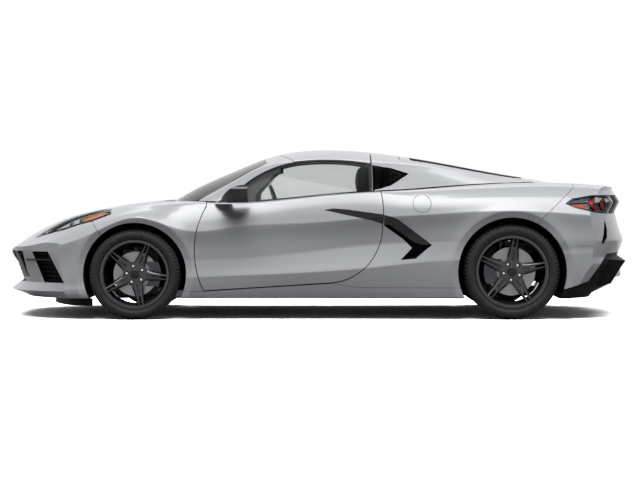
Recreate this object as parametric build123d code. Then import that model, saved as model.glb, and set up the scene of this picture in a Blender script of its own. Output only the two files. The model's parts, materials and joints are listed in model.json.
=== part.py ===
"""Mid-engined two-seat sports coupe, built as separate panels, glass, cabin, engine and running gear.

Frame: +Z up, nose towards -X, left-hand side towards -Y. The origin is on the ground, under the
middle of the car's length and width. Millimetres.

The body is drawn once, as three envelopes: a lower body lofted through STATIONS, a greenhouse
lofted through ROOF_STATIONS, and plan curves that round the nose and the tail. Each is made
outside, inside and with a gap, and every panel is a cut-out of the wall between them.
"""

from build123d import *
import os

# ---------------------------------------------------------------- driving dimensions
LENGTH = 4630.0
WHEELBASE = 2723.0
FRONT_OVERHANG = 978.0
BODY_WIDTH = 1934.0
HEIGHT = 1234.0
SILL_HEIGHT = 152.0           # underside of the sills above the ground

TRACK_FRONT = 1648.0
TRACK_REAR = 1586.0
TYRE_WIDTH_FRONT = 245.0
TYRE_WIDTH_REAR = 305.0
TYRE_RADIUS_FRONT = 327.0
TYRE_RADIUS_REAR = 345.5
RIM_RADIUS_FRONT = 241.3      # 19 inch bead seat
RIM_RADIUS_REAR = 254.0       # 20 inch bead seat
ARCH_RADIUS_FRONT = 372.0
ARCH_RADIUS_REAR = 392.0

PANEL = 25.0                  # depth of a body panel with its inner structure
GLASS = 6.0
MOVING_GAP = 6.0              # all round a door or lid
SEAM = 3.0                    # between two fixed panels
ROOF_SEAL = 11.0              # between the door glass and the roof panel
DOOR_INNER_Y = 786.0          # inner face of the door
DOOR_SKIN_Y = 880.0           # inboard of this the door's core stands back from its skin's edges
DOOR_FLANGE = 22.0            # by how much
STEER_LOCK = 35.0             # degrees each way

NOSE_X = -LENGTH / 2
TAIL_X = LENGTH / 2
FRONT_AXLE_X = NOSE_X + FRONT_OVERHANG
REAR_AXLE_X = FRONT_AXLE_X + WHEELBASE

# The body is drawn at these sizes and stretched to the driving dimensions.
DRAWN_X = (-2315.0, -1337.0, 1386.0, 2315.0)     # nose, front axle, rear axle, tail
DRAWN_WIDTH = 1934.0
DRAWN_BELT, DRAWN_HEIGHT = 830.0, 1234.0
FAR = 2800.0                  # beyond the body, for cutters


def along(x):
    """Drawn x to real x: stretches between the nose, the two axles and the tail."""
    real = (NOSE_X, FRONT_AXLE_X, REAR_AXLE_X, TAIL_X)
    for k in range(3):
        if x <= DRAWN_X[k + 1] or k == 2:
            share = (x - DRAWN_X[k]) / (DRAWN_X[k + 1] - DRAWN_X[k])
            return real[k] + share * (real[k + 1] - real[k])


def out(y):
    """Drawn half-width to real half-width."""
    return y * BODY_WIDTH / DRAWN_WIDTH


def up(z):
    """Drawn height to real height: only the part above the belt follows HEIGHT."""
    if z <= DRAWN_BELT:
        return z
    return DRAWN_BELT + (z - DRAWN_BELT) * (HEIGHT - DRAWN_BELT) / (DRAWN_HEIGHT - DRAWN_BELT)


# ---------------------------------------------------------------- body envelopes
# Lower body: half-widths and heights of the lengthwise feature lines, nose to tail.
#    x     sill  ledge      cove       waist      belt       rail       top
#          y     y    z     y    z     y    z     y    z     y    z     z
STATIONS = [
    (-2340, 850, 880, 205, 850, 300, 850, 455, 700, 462, 430, 460, 462),
    (-2200, 855, 885, 205, 860, 300, 862, 470, 700, 505, 430, 560, 572),
    (-2000, 880, 900, 207, 880, 300, 880, 515, 730, 596, 470, 672, 682),
    (-1800, 905, 915, 212, 905, 300, 912, 562, 760, 705, 510, 748, 752),
    (-1600, 925, 935, 225, 930, 330, 942, 645, 785, 772, 550, 795, 790),
    (-1337, 940, 950, 250, 950, 400, 957, 738, 800, 830, 590, 836, 815),
    (-1000, 905, 925, 295, 912, 430, 940, 650, 815, 846, 620, 850, 832),
    (-600, 888, 918, 318, 884, 440, 908, 672, 824, 836, 620, 850, 845),
    (-150, 886, 926, 338, 876, 480, 905, 697, 832, 874, 600, 880, 886),
    (350, 896, 936, 374, 876, 538, 920, 735, 842, 916, 600, 925, 930),
    (800, 920, 950, 420, 915, 560, 950, 762, 846, 942, 600, 955, 958),
    (1386, 945, 962, 440, 962, 560, 967, 785, 830, 972, 600, 985, 990),
    (1800, 930, 948, 470, 950, 560, 953, 765, 800, 976, 600, 982, 984),
    (2100, 900, 915, 480, 920, 560, 930, 740, 780, 955, 600, 960, 962),
    (2340, 860, 880, 480, 880, 560, 890, 720, 760, 930, 600, 935, 938),
]
# Greenhouse, windscreen base to deck: base (where it meets the body), rail (top of the side) and crown.
#    x      base y z    rail y z    top z
ROOF_STATIONS = [
    (-1185, 480, 790, 300, 796, 800),
    (-1000, 648, 800, 570, 838, 910),
    (-900, 706, 808, 665, 856, 963),
    (-650, 778, 812, 640, 992, 1072),
    (-400, 800, 822, 602, 1116, 1172),
    (-150, 812, 850, 582, 1152, 1224),
    (100, 820, 878, 574, 1160, 1234),
    (400, 824, 906, 564, 1148, 1215),
    (700, 812, 918, 546, 1132, 1174),
    (1050, 796, 930, 524, 1078, 1112),
    (1400, 776, 942, 530, 1020, 1048),
    (1700, 724, 950, 560, 978, 998),
    (1880, 680, 944, 560, 946, 958),
]
# Plan curves of the two ends by height: x on the centreline, then three points round the corner.
#    z     x0      x1    y1     x2    y2     x3    y3
NOSE_LEVELS = [
    (100, -2170, -2085, 540, -1940, 740, -1790, 850),
    (155, -2200, -2120, 560, -1970, 770, -1810, 880),
    (203, -2315, -2222, 590, -2040, 800, -1850, 908),
    (262, -2238, -2150, 600, -2010, 788, -1850, 900),
    (478, -2315, -2222, 600, -2040, 800, -1840, 912),
    (1300, -2315, -2222, 600, -2040, 800, -1840, 912),
]
TAIL_LEVELS = [
    (100, 1960, 1940, 600, 1880, 760, 1800, 840),
    (180, 2020, 2000, 600, 1930, 780, 1820, 880),
    (238, 2190, 2112, 600, 2026, 790, 1860, 922),
    (400, 2315, 2187, 650, 2090, 815, 1950, 938),
    (448, 2240, 2150, 650, 2074, 813, 1950, 940),
    (517, 2266, 2178, 650, 2090, 820, 1950, 945),
    (568, 2280, 2191, 650, 2098, 822, 1950, 947),
    (671, 2246, 2158, 650, 2080, 812, 1950, 942),
    (767, 2222, 2134, 640, 2062, 802, 1945, 935),
    (848, 2257, 2168, 640, 2078, 803, 1930, 925),
    (935, 2202, 2116, 630, 2044, 775, 1930, 895),
    (1300, 2202, 2116, 630, 2044, 775, 1930, 895),
]


def lower_body(grow):
    """Lower body envelope, moved outwards by grow."""
    wires = []
    for x, sy, ly, lz, cy, cz, wy, wz, by, bz, ry, rz, tz in STATIONS:
        rows = [(sy, SILL_HEIGHT - grow), (ly, lz), (cy, cz), (wy, wz), (by, bz + grow), (ry, rz + grow)]
        half = [(out(y) + grow, z) for y, z in rows]
        left = [Vector(along(x), -y, up(z)) for y, z in reversed(half)]
        right = [Vector(along(x), y, up(z)) for y, z in half]
        crown = ThreePointArc(right[-1], Vector(along(x), 0, up(tz + grow)), left[0])
        wires.append(Wire([*Polyline(*left, *right).edges(), crown]))
    body = Solid.make_loft(wires)
    return body & plan_block(NOSE_LEVELS, grow, -1) & plan_block(TAIL_LEVELS, grow, 1)


def plan_block(levels, grow, end):
    """Everything inside one end's plan curves: end is -1 for the nose and 1 for the tail."""
    wires = []
    for z, x0, x1, y1, x2, y2, x3, y3 in levels:
        tip = Vector(along(x0) + end * grow, 0, up(z))
        side = [(along(x) + end * grow, out(y) + grow) for x, y in ((x1, y1), (x2, y2), (x3, y3))]
        a = [Vector(x, y, up(z)) for x, y in side]
        b = [Vector(x, -y, up(z)) for x, y in side]
        back = [Vector(-end * FAR, FAR, up(z)), Vector(-end * FAR, -FAR, up(z))]
        arcs = [ThreePointArc(b[0], tip, a[0]), ThreePointArc(*a), ThreePointArc(*reversed(b))]
        wires.append(Wire([arcs[0], arcs[1], *Polyline(a[-1], *back, b[-1]).edges(), arcs[2]]))
    return Solid.make_loft(wires, ruled=True)


def greenhouse(grow, drop=140.0):
    """Cabin envelope from windscreen base to rear deck, moved outwards by grow; drop buries its foot."""
    wires = []
    for x, by, bz, ry, rz, tz in ROOF_STATIONS:
        half = [(out(by) + grow, bz - drop), (out(by) + grow, bz), (out(ry) + grow, rz + grow)]
        left = [Vector(along(x), -y, up(z)) for y, z in reversed(half)]
        right = [Vector(along(x), y, up(z)) for y, z in half]
        crown = ThreePointArc(right[-1], Vector(along(x), 0, up(tz + grow)), left[0])
        wires.append(Wire([*Polyline(*left, *right).edges(), crown]))
    return Solid.make_loft(wires)


# ---------------------------------------------------------------- drawing helpers
def outline(steps, place):
    """Closed face through steps: a point is reached by a line, a (mid, end) pair by an arc."""
    edges, last = [], place(*steps[0])
    for step in steps[1:]:
        if isinstance(step[0], tuple):
            edges.append(ThreePointArc(last, place(*step[0]), place(*step[1])))
            last = place(*step[1])
        else:
            edges.append(Line(last, place(*step)))
            last = place(*step)
    if (last - place(*steps[0])).length > 1e-6:
        edges.append(Line(last, place(*steps[0])))
    return make_face(edges)


def side_prism(steps, y_in, y_out=FAR, shrink=0.0):
    """Cutter drawn in side view (drawn x, drawn z), on the left-hand side from y_in to y_out."""
    face = outline(steps, lambda x, z: Vector(along(x), -y_in, up(z)))
    if shrink:
        face = offset(face, -shrink)
    return extrude(face, amount=y_out - y_in, dir=(0, -1, 0))


def across_prism(steps, shrink=0.0):
    """Cutter drawn in side view, right across the car."""
    face = outline(steps, lambda x, z: Vector(along(x), -FAR, up(z)))
    if shrink:
        face = offset(face, -shrink)
    return extrude(face, amount=2 * FAR, dir=(0, 1, 0))


def plan_edges(steps, z, side=1):
    """Edges through plan steps (drawn x, drawn half-width): a (mid, end) pair is an arc."""
    spot = lambda p: Vector(along(p[0]), side * out(p[1]), z)
    edges, last = [], spot(steps[0])
    for step in steps[1:]:
        if isinstance(step[0], tuple):
            edges.append(ThreePointArc(last, spot(step[0]), spot(step[1])))
            last = spot(step[1])
        else:
            edges.append(Line(last, spot(step)))
            last = spot(step)
    return edges


def top_prism(half, z_low, z_high, grow=0.0):
    """Cutter drawn in plan and symmetrical: half runs from the centreline in front to it behind."""
    face = make_face([*plan_edges(half, z_low), *plan_edges(half, z_low, -1)])
    if grow:
        face = offset(face, grow)
    return extrude(face, amount=z_high - z_low, dir=(0, 0, 1))


def side_top_prism(steps, z_low, z_high, grow=0.0):
    """Cutter drawn in plan on the left-hand side: steps (drawn x, drawn half-width) closed by a line."""
    face = outline(steps, lambda x, y: Vector(along(x), -out(y), z_low))
    if grow:
        face = offset(face, grow)
    return extrude(face, amount=z_high - z_low, dir=(0, 0, 1))


def front_prism(steps, x_low, x_high, grow=0.0):
    """Cutter drawn in front view on the left-hand side (drawn half-width, drawn z), along X."""
    face = outline(steps, lambda y, z: Vector(x_low, -out(y), up(z)))
    if grow:
        face = offset(face, grow)
    return extrude(face, amount=x_high - x_low, dir=(1, 0, 0))


def box(x0, x1, y0, y1, z0, z1):
    """Axis-aligned box between two corners."""
    return Pos((x0 + x1) / 2, (y0 + y1) / 2, (z0 + z1) / 2) * Box(x1 - x0, y1 - y0, z1 - z0)


def rod(a, b, radius):
    """Round bar from a to b."""
    a, b = Vector(*a), Vector(*b)
    return extrude(Plane(a, z_dir=b - a) * Circle(radius), amount=(b - a).length)


def barrel(x, z, radius, y0, y1):
    """Cylinder along Y."""
    return rod((x, y0, z), (x, y1, z), radius)


def other_side(part):
    """Mirror image on the right-hand side."""
    return mirror(part, about=Plane.XZ)


def both(part):
    """A left-hand piece and its mirror image as separate solids of one node."""
    return solids_of(part, other_side(part))


def solids_of(*parts):
    """One compound of all the solids."""
    found = [s for p in parts for s in p.solids()]
    return Compound(children=found) if len(found) > 1 else found[0]


def largest(part):
    """Drops the slivers that a cut leaves behind."""
    return max(part.solids(), key=lambda s: s.volume)


def duct(envelope, steps, y_in, y_floor, lip):
    """Tray behind an opening in the left side, out to envelope: its walls stand lip inside the outline."""
    tray = side_prism(steps, y_in, shrink=-12) - side_prism(steps, y_floor, shrink=lip)
    return envelope & (tray & box(along(466), FAR, -FAR, 0, 0, FAR))


# ---------------------------------------------------------------- seams, drawn sizes
DOOR_REAR = [((360, 410), (453, 680)), ((459, 805), (420, 1000))]
DOOR = [(-826, 1000), (-826, 815), ((-905, 560), (-841, 206)), (95, 265), *DOOR_REAR]
FENDER = [(-1662, 1000), (-1655, 714), (-1582, 617), (-1560, 400), (-1000, 150), (-1000, 203),
          (-841, 203), ((-905, 560), (-826, 815)), (-826, 1000)]
SILL = [(-1000, 60), (-1000, 203), (-841, 203), (95, 262), (300, 230), (1060, 230), (1060, 60)]
BUMPER_FRONT = [(-2600, 60), (-2600, 1000), (-1662, 1000), (-1655, 714), (-1582, 617), (-1560, 400), (-1560, 60)]
BUMPER_REAR = [(1837, 1100), (1837, 950), (1594, 727), (1565, 680), (1565, 60), (2600, 60), (2600, 1100)]
DIFFUSER = [(1565, 60), (1565, 222), (1768, 222), (1937, 275), (2085, 474), (2600, 474), (2600, 60)]
QUARTER = [(420, 1100), (420, 1000), ((459, 805), (453, 680)), ((360, 410), (95, 262)), (300, 230),
           (1400, 230), (1565, 680), (1594, 727), (1837, 950), (1837, 1100)]
SIDE_INTAKE = [(462, 756), (527, 740), (573, 717), (808, 540), (689, 440), (579, 430), (663, 517), (598, 582),
               (462, 678)]
BLADE = [(462, 756), (527, 740), (573, 717), (808, 540), (734, 540), (676, 559), (495, 685), (462, 682)]
DOOR_BLADE = [(25, 791), (95, 802), (199, 794), (480, 756), (480, 680), (379, 714)]
FUEL_FLAP = (736, 838, 65.0)  # x, z and radius, left-hand side only
DOOR_GLASS = [(-535, 700), (-548, 972), ((-370, 1080), (-172, 1134)), ((105, 1146), (372, 1118)), (372, 785)]
QUARTER_GLASS = [(384, 928), (384, 1115), (520, 1094), (648, 1053), (515, 968)]
TAIL_LAMP = [(1770, 837), (1820, 872), (1969, 896), (2600, 896), (2600, 764), (2067, 764), (1974, 775), (1831, 809)]
REAR_SLOT = [(2063, 722), (2081, 653), (2079, 587), (2055, 546), (2033, 546), (2052, 620)]

BONNET = [(-1985, 0), ((-1978, 200), (-1950, 385)), (-1885, 500), (-1600, 572), (-1310, 632), (-1215, 628),
          ((-1262, 320), (-1278, 0))]
COWL = [(-1270, 0), ((-1254, 320), (-1206, 636)), (-960, 690), (-960, 0)]
WINDSCREEN = [(-1140, 0), ((-1108, 360), (-1000, 612)), (-905, 668), (-640, 622), (-430, 574), (-396, 530),
              ((-412, 270), (-418, 0))]
ROOF_PANEL = [(-305, 0), ((-278, 300), (-190, 596)), (-190, 700), (374, 700), (374, 0)]
HATCH = [(590, 0), (590, 430), (618, 462), (1440, 500), (1700, 640), (2130, 640), (2400, 620), (2400, 0)]
HATCH_GLASS = [(672, 0), (672, 400), (700, 428), (1440, 452), (1500, 400), (1525, 0)]
HEADLAMP = [(-2092, 600), (-1900, 552), (-1660, 606), (-1516, 757), (-1640, 800), (-1900, 800), (-2060, 690)]
HATCH_Z = 905.0               # lower edge of the hatch round the tail

arches = [barrel(x, z, r, -FAR, -500) for x, z, r in
          ((FRONT_AXLE_X, TYRE_RADIUS_FRONT, ARCH_RADIUS_FRONT), (REAR_AXLE_X, TYRE_RADIUS_REAR, ARCH_RADIUS_REAR))]
arches += [other_side(a) for a in arches]

lower, lower_inner = lower_body(0), lower_body(-PANEL)
cabin, cabin_inner = greenhouse(0), greenhouse(-PANEL)
shell = (lower + cabin) - (lower_inner + cabin_inner)
for arch in arches:
    shell -= arch
nodes = {}

# ---------------------------------------------------------------- body panels
PLATE_X, PLATE_HALF, PLATE_ZS = along(2205), 262.0, (590.0, 702.0)   # recess for the number plate
PLATE_BOLTS, PLATE_BOLT_RADIUS = 178.0, 3.5
JACK_XS, JACK_Y = (-700.0, 800.0), 720.0      # middles of the jack pads
half_gap, half_seam = MOVING_GAP / 2, SEAM / 2
bonnet_hole = top_prism(BONNET, 400, 1400, half_gap)
hatch_hole = top_prism(HATCH, HATCH_Z - MOVING_GAP, 1600, half_gap)
lamp_hole = side_top_prism(HEADLAMP, 400, 1400, half_seam)
tail_lamp_hole = side_prism(TAIL_LAMP, 430, shrink=-half_seam)
roof_hole = top_prism(ROOF_PANEL, up(1000), 1600, half_gap)
cabin_gap, lower_grown = greenhouse(SEAM), lower_body(MOVING_GAP)

nodes["bonnet"] = shell & top_prism(BONNET, 400, 1400, -half_gap)

bumper = shell & across_prism(BUMPER_FRONT, half_seam)
bumper -= bonnet_hole
bumper -= [lamp_hole, other_side(lamp_hole)]
INNER_INTAKE = [(150, 250), (548, 262), (585, 489), (430, 489), (150, 392)]
OUTER_INTAKE = [(640, 266), (1000, 262), (1000, 489), (690, 489)]
CORNER = [(-2600, 262), (-1845, 261), (-1972, 489), (-2600, 489)]
STRAKE = [(-2128, 500), (-2066, 500), (-2008, 250), (-2098, 250)]     # stands in the outer intake
strake, strake_gap = side_prism(STRAKE, 500), side_prism(STRAKE, 500, shrink=-2.0)
intake_holes = [front_prism(INNER_INTAKE, -2600, -1900),
                (front_prism(OUTER_INTAKE, -2600, -1600) & side_prism(CORNER, 500)) - strake]
intake_holes += [other_side(h) for h in intake_holes]
bumper -= intake_holes
nodes["front_bumper"] = largest(bumper)

nose = shell & box(NOSE_X - 10, along(-1780), -FAR, 0, 200, 520)
set_back = Pos(34, 24, 0) * nose
grille_prisms = [front_prism(INNER_INTAKE, -2600, -1900, -1.0),
                 front_prism(OUTER_INTAKE, -2600, -1600, -1.0) & side_prism(CORNER, 500, shrink=1.0)]
grilles = [largest(set_back & prism) for prism in grille_prisms]
vane_shells = [(Pos(-20, -14, 0) * g & hole) - strake_gap for g, hole in zip(grilles, grille_prisms)]
vanes = [[s & box(-2600, -1500, -FAR, 0, z, z + 9) for z in zs]
         for s, zs in zip(vane_shells, ((290, 335, 380, 425), (300, 345, 390, 435)))]
grilles = [largest(g + v) for g, v in zip(grilles, vanes)]
nodes["front_intakes"] = solids_of(*grilles, *[other_side(g) for g in grilles])

DAM = [(-1995, 0), ((-1965, 380), (-1860, 660)), ((-1775, 785), (-1645, 862))]
dam = top_prism([*DAM, (-1645, 0)], 95, SILL_HEIGHT - 0.5) - top_prism([*DAM, (-1600, 870), (-1600, 0)], 90, 160, -14)
nodes["air_dam"] = largest(dam)

fender = shell & side_prism(FENDER, 380, shrink=half_seam)
fender = largest(fender - bonnet_hole - lamp_hole - cabin_gap - top_prism(COWL, 400, 1400, half_seam))
nodes["front_fenders"] = both(fender)

headlamp = largest(shell & side_top_prism(HEADLAMP, 560, 1400, -half_seam))
nodes["headlamps"] = both(headlamp)

cowl = shell & top_prism(COWL, 500, 1400, -half_seam)
nodes["cowl"] = largest(cowl - bonnet_hole - cabin_gap)

door_gap = MOVING_GAP - half_seam + 1.0
door_form = side_prism(DOOR, DOOR_SKIN_Y - 1, shrink=door_gap)
door_form += side_prism(DOOR, DOOR_INNER_Y, DOOR_SKIN_Y, shrink=door_gap + DOOR_FLANGE)
door = lower & door_form
glass_slot = greenhouse(4.0) - greenhouse(-GLASS - 4.0)
door = largest(door - glass_slot)
door_blade = largest(door & side_prism(DOOR_BLADE, DOOR_INNER_Y + 40, shrink=half_seam))
door = largest(door - side_prism(DOOR_BLADE, DOOR_INNER_Y + 39))
armrest = side_prism([(-430, 545), (-330, 625), (130, 655), (180, 575), (60, 545)], DOOR_INNER_Y - 42, DOOR_INNER_Y + 1)
door = largest(door + fillet(armrest.edges().filter_by(Axis.Y), 14))
nodes["door_left"], nodes["door_right"] = door, other_side(door)
nodes["door_blade_left"], nodes["door_blade_right"] = door_blade, other_side(door_blade)

pane_shell = cabin - greenhouse(-GLASS)
door_glass = largest(pane_shell & side_prism(DOOR_GLASS, 300))
nodes["door_glass_left"], nodes["door_glass_right"] = door_glass, other_side(door_glass)

quarter_pane = largest(pane_shell & side_prism(QUARTER_GLASS, 300, shrink=half_seam))
nodes["quarter_glass"] = both(quarter_pane)

windscreen_prism = top_prism(WINDSCREEN, 700, 1600, -half_seam)
nodes["windscreen"] = largest((pane_shell & windscreen_prism) - lower_grown)

roof_shell = (cabin - cabin_inner) - lower_grown
screen_frame = roof_shell & top_prism([(-1200, 0), (-1200, 800), (-180, 800), (-180, 0)], 700, 1600)
screen_frame -= [roof_hole, top_prism(WINDSCREEN, 700, 1600, half_seam)]
glass_hole = side_prism([(-560, 600), *DOOR_GLASS[1:-1], (372, 600)], 300, shrink=-MOVING_GAP)
screen_frame -= [glass_hole, other_side(glass_hole)]
nodes["windscreen_frame"] = largest(screen_frame)

roof_panel = roof_shell & top_prism(ROOF_PANEL, up(1100), 1600, -half_gap)
seal_hole = side_prism([(-560, 600), *DOOR_GLASS[1:-1], (372, 600)], 300, shrink=-ROOF_SEAL)
roof_panel -= [seal_hole, other_side(seal_hole)]
nodes["roof_panel"] = largest(roof_panel)

rear_roof = roof_shell & top_prism([(380, 0), (380, 900), (1900, 900), (1900, 0)], up(860), 1600)
quarter_glass_hole = side_prism(QUARTER_GLASS, 300, shrink=-half_seam)
rear_roof -= [hatch_hole, quarter_glass_hole, other_side(quarter_glass_hole)]
nodes["rear_roof"] = largest(rear_roof)

quarter = shell & side_prism(QUARTER, 300, shrink=half_seam)
intake_hole = side_prism(SIDE_INTAKE, 700)
quarter = largest(quarter - cabin_gap - hatch_hole - intake_hole)
flap_x, flap_z, flap_radius = along(FUEL_FLAP[0]), FUEL_FLAP[1], FUEL_FLAP[2]
nodes["fuel_flap"] = largest(quarter & barrel(flap_x, flap_z, flap_radius - half_seam, -FAR, -700))
flap_hole = barrel(flap_x, flap_z, flap_radius + half_seam, -FAR, -700)
nodes["rear_quarters"] = solids_of(largest(quarter - flap_hole), other_side(quarter))
blade = largest(shell & side_prism(BLADE, 700, shrink=half_seam))
nodes["side_intakes"] = both(largest(blade + duct(lower_inner, SIDE_INTAKE, 778, 800, 6)))

sill = shell & side_prism(SILL, 620, shrink=half_seam)
for x in JACK_XS:
    sill += box(x - 45, x + 45, -JACK_Y - 28, -JACK_Y + 28, SILL_HEIGHT - 12, SILL_HEIGHT + 14)
nodes["side_sills"] = both(largest(sill))

rear_bumper = shell & across_prism(BUMPER_REAR, half_seam)
rear_bumper -= across_prism(DIFFUSER, -half_seam)
rear_bumper -= [hatch_hole, cabin_gap, tail_lamp_hole, other_side(tail_lamp_hole)]
slot, slot_tray = side_prism(REAR_SLOT, 640), duct(lower, REAR_SLOT, 630, 640, 0)
rear_bumper = rear_bumper - [slot, other_side(slot)] + [slot_tray, other_side(slot_tray)]
tray_hole = box(PLATE_X, TAIL_X + 50, -PLATE_HALF, PLATE_HALF, *PLATE_ZS)
tray = box(PLATE_X - 16, TAIL_X + 50, -PLATE_HALF - 8, PLATE_HALF + 8, PLATE_ZS[0] - 8, PLATE_ZS[1] + 8) & lower
tray_holes = [rod((PLATE_X - 30, s * PLATE_BOLTS / 2, sum(PLATE_ZS) / 2), (PLATE_X + 30, s * PLATE_BOLTS / 2, sum(PLATE_ZS) / 2),
                  PLATE_BOLT_RADIUS) for s in (-1, 1)]
nodes["rear_bumper"] = largest(rear_bumper + (tray & across_prism(BUMPER_REAR, half_seam)) - tray_hole - tray_holes)
nodes["rear_diffuser"] = largest(shell & across_prism(DIFFUSER, half_seam))
tail_lamp = largest(shell & side_prism(TAIL_LAMP, 430, shrink=half_seam))
nodes["tail_lamps"] = both(tail_lamp)

hatch_solid = shell & top_prism(HATCH, HATCH_Z, 1600, -half_gap)
nodes["hatch"] = largest(hatch_solid - top_prism(HATCH_GLASS, 900, 1600, half_seam))
nodes["hatch_glass"] = largest(pane_shell & top_prism(HATCH_GLASS, 900, 1600, -half_seam))

# ---------------------------------------------------------------- cabin, tubs and underside
FLOOR_Z = SILL_HEIGHT + PANEL                 # top of the belly pan
FIREWALL_X, BULKHEAD_X = -925.0, 480.0
SEAT_Y = 365.0                                # middle of each seat from the centreline
SEAT_WIDTH = 500.0
WALL = 25.0

belly = shell & box(along(-960), along(1200), -out(612), out(612), 100, FLOOR_Z + 30)
nodes["floor_pan"] = largest(belly)

tub = box(FIREWALL_X, BULKHEAD_X + WALL, -775, 775, FLOOR_Z + 2, 330)
tub += box(FIREWALL_X, FIREWALL_X + WALL, -620, 620, 330, 700)
tub += box(BULKHEAD_X, BULKHEAD_X + WALL, -775, 775, 330, 820)
tub -= box(FIREWALL_X + WALL, BULKHEAD_X, -640, 640, FLOOR_Z + 2 + WALL, 400)
tub += box(FIREWALL_X + WALL, BULKHEAD_X, -110, 110, FLOOR_Z + 2 + WALL, 400)
bulkhead_window = box(BULKHEAD_X - 10, BULKHEAD_X + WALL + 10, -420, 420, 900, 1080)
upper_bulkhead = box(BULKHEAD_X, BULKHEAD_X + WALL, -700, 700, 820, 1190) - bulkhead_window
inner_space = greenhouse(-PANEL - 6) + box(-2000, 2000, -760, 760, 100, 850)
tub += upper_bulkhead & inner_space
nodes["cabin_tub"] = largest(tub)

DASH = [(-880, 560), (-880, 770), (-760, 832), (-560, 815), (-520, 760), (-560, 620), (-700, 540)]
dash_face = outline(DASH, lambda x, z: Vector(along(x), -720, z))
dash = extrude(dash_face, amount=1440, dir=(0, 1, 0)) & inner_space
console = extrude(outline([(-520, 405), (-520, 700), (-300, 560), (400, 560), (440, 405)],
                          lambda x, z: Vector(along(x), -105, z)), amount=210, dir=(0, 1, 0))
hood = box(-665, -530, -SEAT_Y - 155, -SEAT_Y + 155, 790, 872)
dash += fillet(hood.edges().filter_by(Axis.X).group_by(Axis.Z)[-1], 45)
nodes["dashboard"] = largest(dash)
nodes["console"] = console

seat_cushion = outline([(-190, 262), (-190, 385), ((-120, 425), (60, 395)), (170, 380), (230, 262)],
                       lambda x, z: Vector(along(x), -SEAT_Y - SEAT_WIDTH / 2, z))
seat_back = outline([(180, 385), ((205, 700), (285, 905)), ((268, 1000), (290, 1110)), ((360, 1128), (392, 1090)),
                     (372, 900), ((330, 600), (300, 300)), (236, 262)],
                    lambda x, z: Vector(along(x), -SEAT_Y - SEAT_WIDTH / 2, z))
back = extrude(seat_back, amount=SEAT_WIDTH, dir=(0, 1, 0))
shoulders = Plane.YZ.offset(0) * Pos(-SEAT_Y, 700) * RectangleRounded(SEAT_WIDTH, 900, 120)
back &= extrude(shoulders, amount=900, both=True)
head = Plane.YZ * Pos(-SEAT_Y, 1010) * Trapezoid(SEAT_WIDTH, 260, 62)
back -= box(0, 900, -SEAT_Y - SEAT_WIDTH, -SEAT_Y + SEAT_WIDTH, 890, 1200) - extrude(head, amount=900, both=True)
cushion = extrude(seat_cushion, amount=SEAT_WIDTH, dir=(0, 1, 0))
rails = [box(-150, 200, -SEAT_Y + s - 20, -SEAT_Y + s + 20, FLOOR_Z + 2 + WALL, 262) for s in (-190, 190)]
hollow_face = outline([(-230, 372), ((-120, 398), (60, 368)), (186, 352), ((236, 690), (302, 880)), (0, 900), (-230, 900)],
                      lambda x, z: Vector(along(x), -SEAT_Y - 135, z))
hollow = extrude(hollow_face, amount=270, dir=(0, 1, 0))
seat = cushion + largest(back) + rails - hollow
nodes["seats"] = both(seat)

FRUNK = dict(x0=-1890.0, x1=-1320.0, y=370.0, z0=420.0, z1=690.0)
BOOT = dict(x0=1785.0, x1=2098.0, y=470.0, z0=560.0, z1=895.0)


def open_tub(x0, x1, y, z0, z1, wall=6.0):
    """Luggage tub open at the top, sizes outside."""
    return box(x0, x1, -y, y, z0, z1) - box(x0 + wall, x1 - wall, -y + wall, y - wall, z0 + wall, z1 + 1)


nodes["luggage_tubs"] = solids_of(open_tub(**FRUNK), open_tub(**BOOT))


def liner(x, z, radius, y0, y1, z_low):
    """Wheel-arch liner: half shell with an inner wall, on the left."""
    ring = barrel(x, z, radius + 8, -y1, -y0) - barrel(x, z, radius + 3, -y1, -y0 - 5)
    keep = box(x - 2 * radius, x + 2 * radius, -y1 - 1, -y0 + 1, z_low, z + 2 * radius)
    return ring & keep


front_liner = liner(FRONT_AXLE_X, TYRE_RADIUS_FRONT, ARCH_RADIUS_FRONT, 515, out(880), 215)
front_liner -= box(FRONT_AXLE_X - 180, FRONT_AXLE_X + 180, -560, -500, 100, 640)
rear_liner = liner(REAR_AXLE_X, TYRE_RADIUS_REAR, ARCH_RADIUS_REAR, 515, out(900), 260)
rear_liner -= box(REAR_AXLE_X - 180, REAR_AXLE_X + 180, -560, -500, 100, 640)
nodes["wheel_liners"] = solids_of(both(front_liner), both(rear_liner))

# ---------------------------------------------------------------- engine and exhaust
ENGINE_X, ENGINE_LENGTH = (620.0, 1190.0), 570.0
block = outline([(-150, 300), (-230, 420), (-330, 640), (-210, 740), (-60, 640), (60, 640), (210, 740), (330, 640),
                 (230, 420), (150, 300)], lambda y, z: Vector(ENGINE_X[0], y, z))
engine = extrude(block, amount=ENGINE_LENGTH, dir=(1, 0, 0))
plenum = box(ENGINE_X[0] + 40, ENGINE_X[1] - 30, -110, 110, 635, 800)
plenum = fillet(plenum.edges().filter_by(Axis.X).group_by(Axis.Z)[-1], 60)
plenum -= [box(x - 7, x + 7, -120, 120, 788, 810) for x in range(710, 1120, 50)]
covers = [Pos((ENGINE_X[0] + ENGINE_X[1]) / 2, s * 262, 742) * Rot(s * -40, 0, 0) * Box(480, 130, 70) for s in (-1, 1)]
nodes["engine"] = largest(engine + plenum + covers)
gearbox = loft([Pos(ENGINE_X[1] + 3, 0, 420) * Rot(0, 90, 0) * RectangleRounded(330, 420, 60),
                Pos(REAR_AXLE_X + 60, 0, 400) * Rot(0, 90, 0) * RectangleRounded(280, 300, 60),
                Pos(REAR_AXLE_X + 330, 0, 390) * Rot(0, 90, 0) * RectangleRounded(200, 200, 60)], ruled=True)
nodes["gearbox"] = gearbox

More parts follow.
